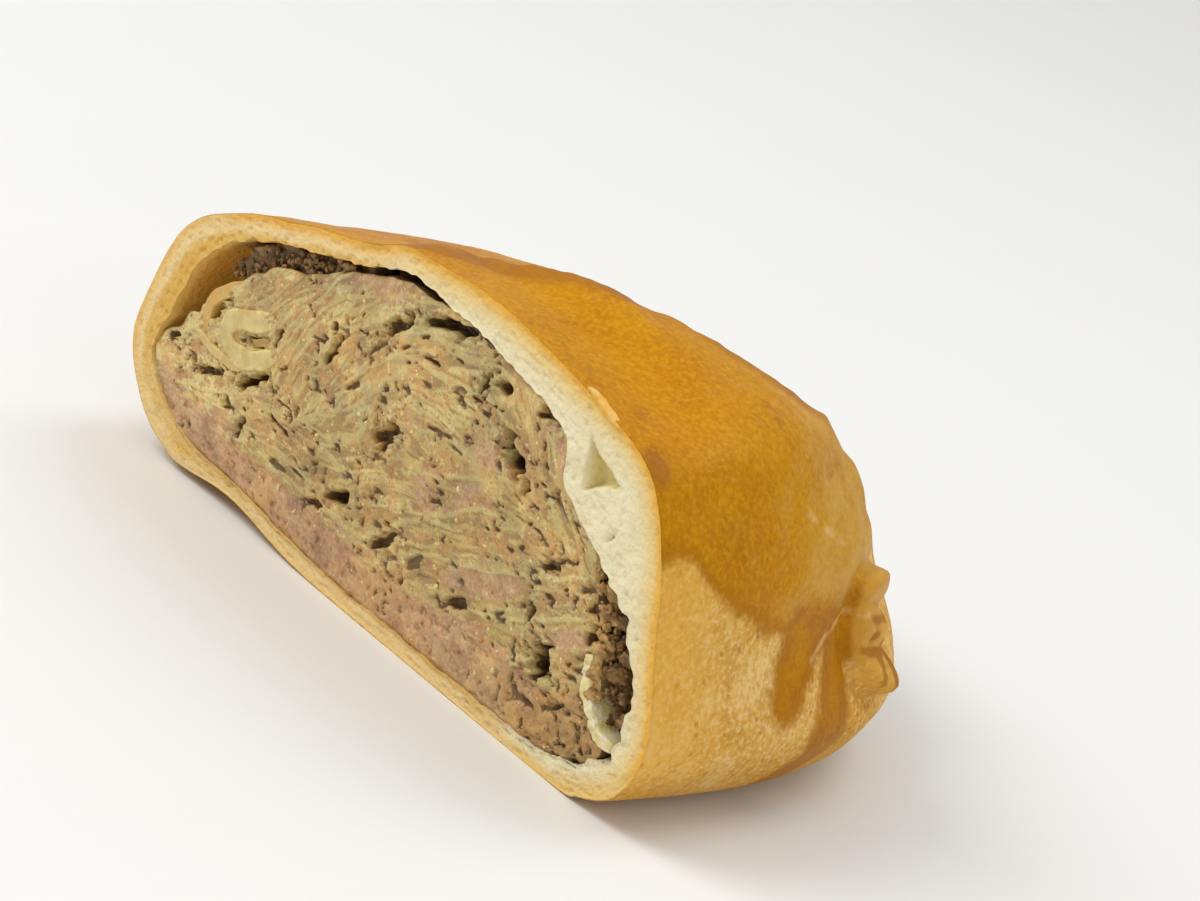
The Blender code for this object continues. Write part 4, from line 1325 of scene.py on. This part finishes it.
class PastySettings(bpy.types.PropertyGroup):
    """Sizes and colours of the crust and filling."""

    crust_turns: whole("Crust turns", "Grid lines round the crust", 150)
    crust_rings: whole("Crust rings", "Grid lines from base to crown", 300)
    cut_rows: whole("Cut rows", "Grid lines across the cut dough", 56)
    face_columns: whole("Face columns", "Grid lines across the filling", 440)
    face_rows: whole("Face rows", "Grid lines up the filling", 200)
    meat_rows: whole("Meat rows", "Grid lines up the bottom layer", 34)
    seed: whole("Seed", "Which arrangement of small leaves", 11)
    skirt: colour("Skirt", "Matte dough below the glaze", (0.73, 0.45, 0.115))
    skirt_low: colour("Skirt, darker", "Second shade of the skirt", (0.66, 0.345, 0.055))
    skirt_pale: colour("Skirt, pale", "Pale floury dough", (0.84, 0.605, 0.29))
    skirt_golden: colour("Skirt, golden", "Dough beside the cut", (0.76, 0.405, 0.06))
    skirt_brown: colour("Skirt, browned", "Browned flecks", (0.50, 0.24, 0.04))
    glaze: colour("Glaze", "Egg glaze", (0.56, 0.252, 0.001))
    glaze_deep: colour("Glaze, deep", "Thicker glaze", (0.50, 0.20, 0.001))
    glaze_low: colour("Glaze, lower", "Blotches in the glaze", (0.47, 0.195, 0.004))
    # Thin glaze on the right, also standing in for painted sheen
    thin_glaze_and_sheen: colour("Glaze, thin", "Thin pale glaze away from the cut", (0.64, 0.39, 0.09))
    glaze_light: colour("Glaze, light", "Lighter flecks in the glaze", (0.66, 0.33, 0.012))
    glaze_edge: colour("Glaze, edge", "Pooled glaze, at its edge and where it ran", (0.32, 0.10, 0.001))
    browned: colour("Browned", "Most baked places", (0.33, 0.12, 0.012))
    crumb: colour("Crumb", "Cream inner dough", (0.80, 0.72, 0.48))
    crumb_baked: colour("Crumb, baked", "Thin dough, more baked", (0.67, 0.40, 0.095))
    crumb_deep: colour("Crumb, deep", "Shade in the crumb", (0.72, 0.56, 0.26))
    flap: colour("Crumb, flap", "Pale dough next to the skin where it is thin", (0.80, 0.61, 0.31))
    crumb_rim: colour("Crumb, outer", "Yellow dough under the skin", (0.76, 0.50, 0.13))
    pocket: colour("Air pocket", "Floor of the air pocket", (0.72, 0.60, 0.25))
    hollow_pale: colour("Hollow, right", "Wall of the hollow on the right", (0.60, 0.46, 0.22))
    cut_edge: colour("Cut edge", "Golden line at the skin", (0.76, 0.385, 0.04))
    # Also the colour of the painted glow on the hollow's left wall
    hollow: colour("Hollow", "Wall of the hollow", (0.56, 0.24, 0.027))
    leaf: colour("Leaf", "Cabbage", (0.56, 0.385, 0.118))
    leaf_dull: colour("Leaf, dull", "Duller cabbage", (0.36, 0.225, 0.07))
    # Also painted shade on single leaves where they go into the pasty
    leaf_stain_and_shade: colour("Leaf, browned", "Cabbage stained by the meat", (0.50, 0.275, 0.075))
    leaf_green: colour("Leaf, grey-green", "Paler grey-green leaves", (0.55, 0.43, 0.165))
    leaf_golden: colour("Leaf, golden", "Cabbage fried golden under the crust", (0.58, 0.33, 0.06))
    leaf_edge: colour("Leaf, edge", "Line where leaf edges meet", (0.27, 0.16, 0.05))
    leaf_pale: colour("Leaf, pale", "Palest cabbage", (0.72, 0.58, 0.22))
    meat_brown: colour("Meat, brown", "Crumbled meat", (0.40, 0.22, 0.07))
    meat_tan: colour("Meat, tan", "Lighter meat", (0.56, 0.35, 0.125))
    meat_pink: colour("Meat, pink", "Pink meat", (0.48, 0.25, 0.135))
    meat_pale: colour("Meat, pale", "Pale pink meat", (0.58, 0.38, 0.20))
    spice: colour("Spice", "Orange-brown grains in the meat", (0.50, 0.225, 0.04))
    fat: colour("Fat", "Pale grains in the filling", (0.80, 0.62, 0.32))
    crumbs_brown: colour("Crumbs, brown", "Loose lumps beside the filling", (0.32, 0.175, 0.06))
    crumbs_dark: colour("Crumbs, dark", "Darker side of the loose lumps", (0.11, 0.06, 0.02))
    # Painted shade: laid in the filling's recesses and dotted pits, and on the crust's deep hollow wall
    painted_crevice_shade: colour("Crevice", "Shade between leaf edges", (0.17, 0.095, 0.03))
    # Painted shade: near black, laid by depth in the filling's hollows and on its back
    pit: colour("Pit", "Depth of the hollows", (0.05, 0.022, 0.007))


class PASTY_OT_crust(bpy.types.Operator):
    """Build the crust with its glaze, seam, knob and cut"""

    bl_idname = "pasty.crust"
    bl_label = "Crust"

    def execute(self, context):
        settings = context.scene.pasty
        make_crust(settings, crust_look(settings))
        return {"FINISHED"}


class PASTY_OT_filling(bpy.types.Operator):
    """Build the cut filling and the meat below it"""

    bl_idname = "pasty.filling"
    bl_label = "Filling"

    def execute(self, context):
        settings = context.scene.pasty
        make_filling(settings, filling_look(settings, "filling"))
        make_bottom_meat(settings, filling_look(settings, "bottom meat"))
        return {"FINISHED"}


class PASTY_OT_leaves(bpy.types.Operator):
    """Build the cabbage leaves that stand clear of the filling, and the flake on the crust"""

    bl_idname = "pasty.leaves"
    bl_label = "Leaves"

    def execute(self, context):
        settings = context.scene.pasty
        leaf = leaf_look(settings)
        torn = grain_look("torn leaf", settings.crumb, settings.leaf_pale)
        dough = grain_look("dough flake", settings.crumb_rim, settings.cut_edge)
        make_leaf("leaf_curl", *CURL, leaf, replaces="leaf_curl")
        make_leaf("leaf_strip", *POCKET_LEAF, torn, replaces="leaf_strip", crumbly=0.3)
        make_leaf("edge_flake", *EDGE_FLAKE, dough)
        make_leaf("leaf_inner_curl", *INNER_CURL, leaf)
        make_leaf("leaf_arch", *ARCH, leaf)
        make_leaf("leaf_under_curl", *UNDER_CURL, leaf)
        return {"FINISHED"}


class PASTY_OT_crumbs(bpy.types.Operator):
    """Build the loose grains on the cut, and the brown lumps in the gaps beside the filling"""

    bl_idname = "pasty.crumbs"
    bl_label = "Crumbs"

    def execute(self, context):
        settings = context.scene.pasty
        for name, grains, pale, dark in (
                ("grains_spice", SPICE_GRAINS, settings.spice, settings.meat_brown),
                ("grains_fat", FAT_GRAINS, settings.fat, settings.leaf_pale)):
            places, sizes = scatter_on_face(settings, *grains)
            make_lumps(name, places, sizes, GRAIN_DETAIL, grains[-1], grain_look(name, pale, dark))
        brown = grain_look("crumbs", settings.crumbs_brown, settings.crumbs_dark)
        light = grain_look("edge crumbs", settings.meat_tan, settings.crumbs_brown)
        make_leaf("crumb_bed", *CRUMB_BED, brown, crumbly=0.8)
        for name, seed, lumps, look in (("crumbs_right", 8, RIGHT_LUMPS, brown),
                                        ("crumbs_top", 9, TOP_LUMPS, brown),
                                        ("crumbs_edge", 10, EDGE_LUMPS, light)):
            make_lumps(name, *scatter_on_route(seed, *lumps), LUMP_DETAIL, seed, look)
        return {"FINISHED"}


class PASTY_OT_stage(bpy.types.Operator):
    """Build the floor, lights and camera"""

    bl_idname = "pasty.stage"
    bl_label = "Stage"

    def execute(self, context):
        make_floor()
        make_lights(context.scene)
        make_camera(context.scene)
        return {"FINISHED"}


class PASTY_PT_panel(bpy.types.Panel):
    """Buttons that build the pasty, and its settings"""

    bl_idname = "PASTY_PT_panel"
    bl_label = "Pasty"
    bl_space_type = "VIEW_3D"
    bl_region_type = "UI"
    bl_category = "Pasty"

    def draw(self, context):
        for operator in OPERATORS:
            self.layout.operator(operator.bl_idname)
        for name in PastySettings.__annotations__:
            self.layout.prop(context.scene.pasty, name)


# ---------------------------------------------------------------- stage

def make_floor():
    """A wide pale floor."""
    look = Look("floor", Specular_IOR_Level=0.2)
    look.finish(look.mix(look.grain(60, 2), (0.80, 0.80, 0.785), (0.82, 0.82, 0.805)), 0.6)
    mesh = bpy.data.meshes.new("floor")
    corners = [(x * FLOOR_REACH, y * FLOOR_REACH, 0) for x, y in ((-1, -1), (1, -1), (1, 1), (-1, 1))]
    mesh.from_pydata(corners, [], [(0, 1, 2, 3)])
    mesh.materials.append(look.material)
    floor = bpy.data.objects.new("floor", mesh)
    bpy.context.scene.collection.objects.link(floor)


def add_light(scene, name, place, size, power):
    """A square lamp that looks at the object."""
    lamp = bpy.data.lights.new(name, "AREA")
    lamp.size = size
    lamp.energy = power
    light = bpy.data.objects.new(name, lamp)
    light.location = place
    light.rotation_euler = (Vector(CAMERA_AIM) - Vector(place)).to_track_quat("-Z", "Y").to_euler()
    scene.collection.objects.link(light)


def make_lights(scene):
    """A key from the upper left, a weaker fill from the right, a lamp from above and an even pale sky."""
    add_light(scene, "key", (-0.55, -0.75, 1.0), 0.7, 10)
    add_light(scene, "fill", (1.1, -0.4, 0.55), 0.9, 2.5)
    add_light(scene, "top", (0.1, 0.5, 1.2), 0.8, 4.5)
    world = bpy.data.worlds.new("studio")
    world.use_nodes = True
    sky = world.node_tree.nodes["Background"]
    sky.inputs["Color"].default_value = (1.0, 0.99, 0.965, 1)
    sky.inputs["Strength"].default_value = 0.55
    scene.world = world
    scene.view_settings.view_transform = "Standard"


def make_camera(scene):
    """Looks at the cut from its right, a little above."""
    lens = bpy.data.cameras.new("camera")
    lens.lens = CAMERA_LENS
    camera = bpy.data.objects.new("camera", lens)
    camera.location = CAMERA_PLACE
    way = Vector(CAMERA_AIM) - Vector(CAMERA_PLACE)
    camera.rotation_euler = way.to_track_quat("-Z", "Y").to_euler()
    camera.rotation_euler.rotate_axis("Z", CAMERA_ROLL)
    scene.collection.objects.link(camera)
    scene.camera = camera


OPERATORS = (PASTY_OT_crust, PASTY_OT_filling, PASTY_OT_leaves, PASTY_OT_crumbs, PASTY_OT_stage)
CLASSES = (PastySettings, *OPERATORS, PASTY_PT_panel)


def register():
    for item in CLASSES:
        bpy.utils.register_class(item)
    bpy.types.Scene.pasty = bpy.props.PointerProperty(type=PastySettings)


def unregister():
    del bpy.types.Scene.pasty
    for item in reversed(CLASSES):
        bpy.utils.unregister_class(item)


def main():
    register()
    bpy.ops.pasty.crust()
    bpy.ops.pasty.filling()
    bpy.ops.pasty.leaves()
    bpy.ops.pasty.crumbs()
    bpy.ops.pasty.stage()


if __name__ == "__main__":
    main()
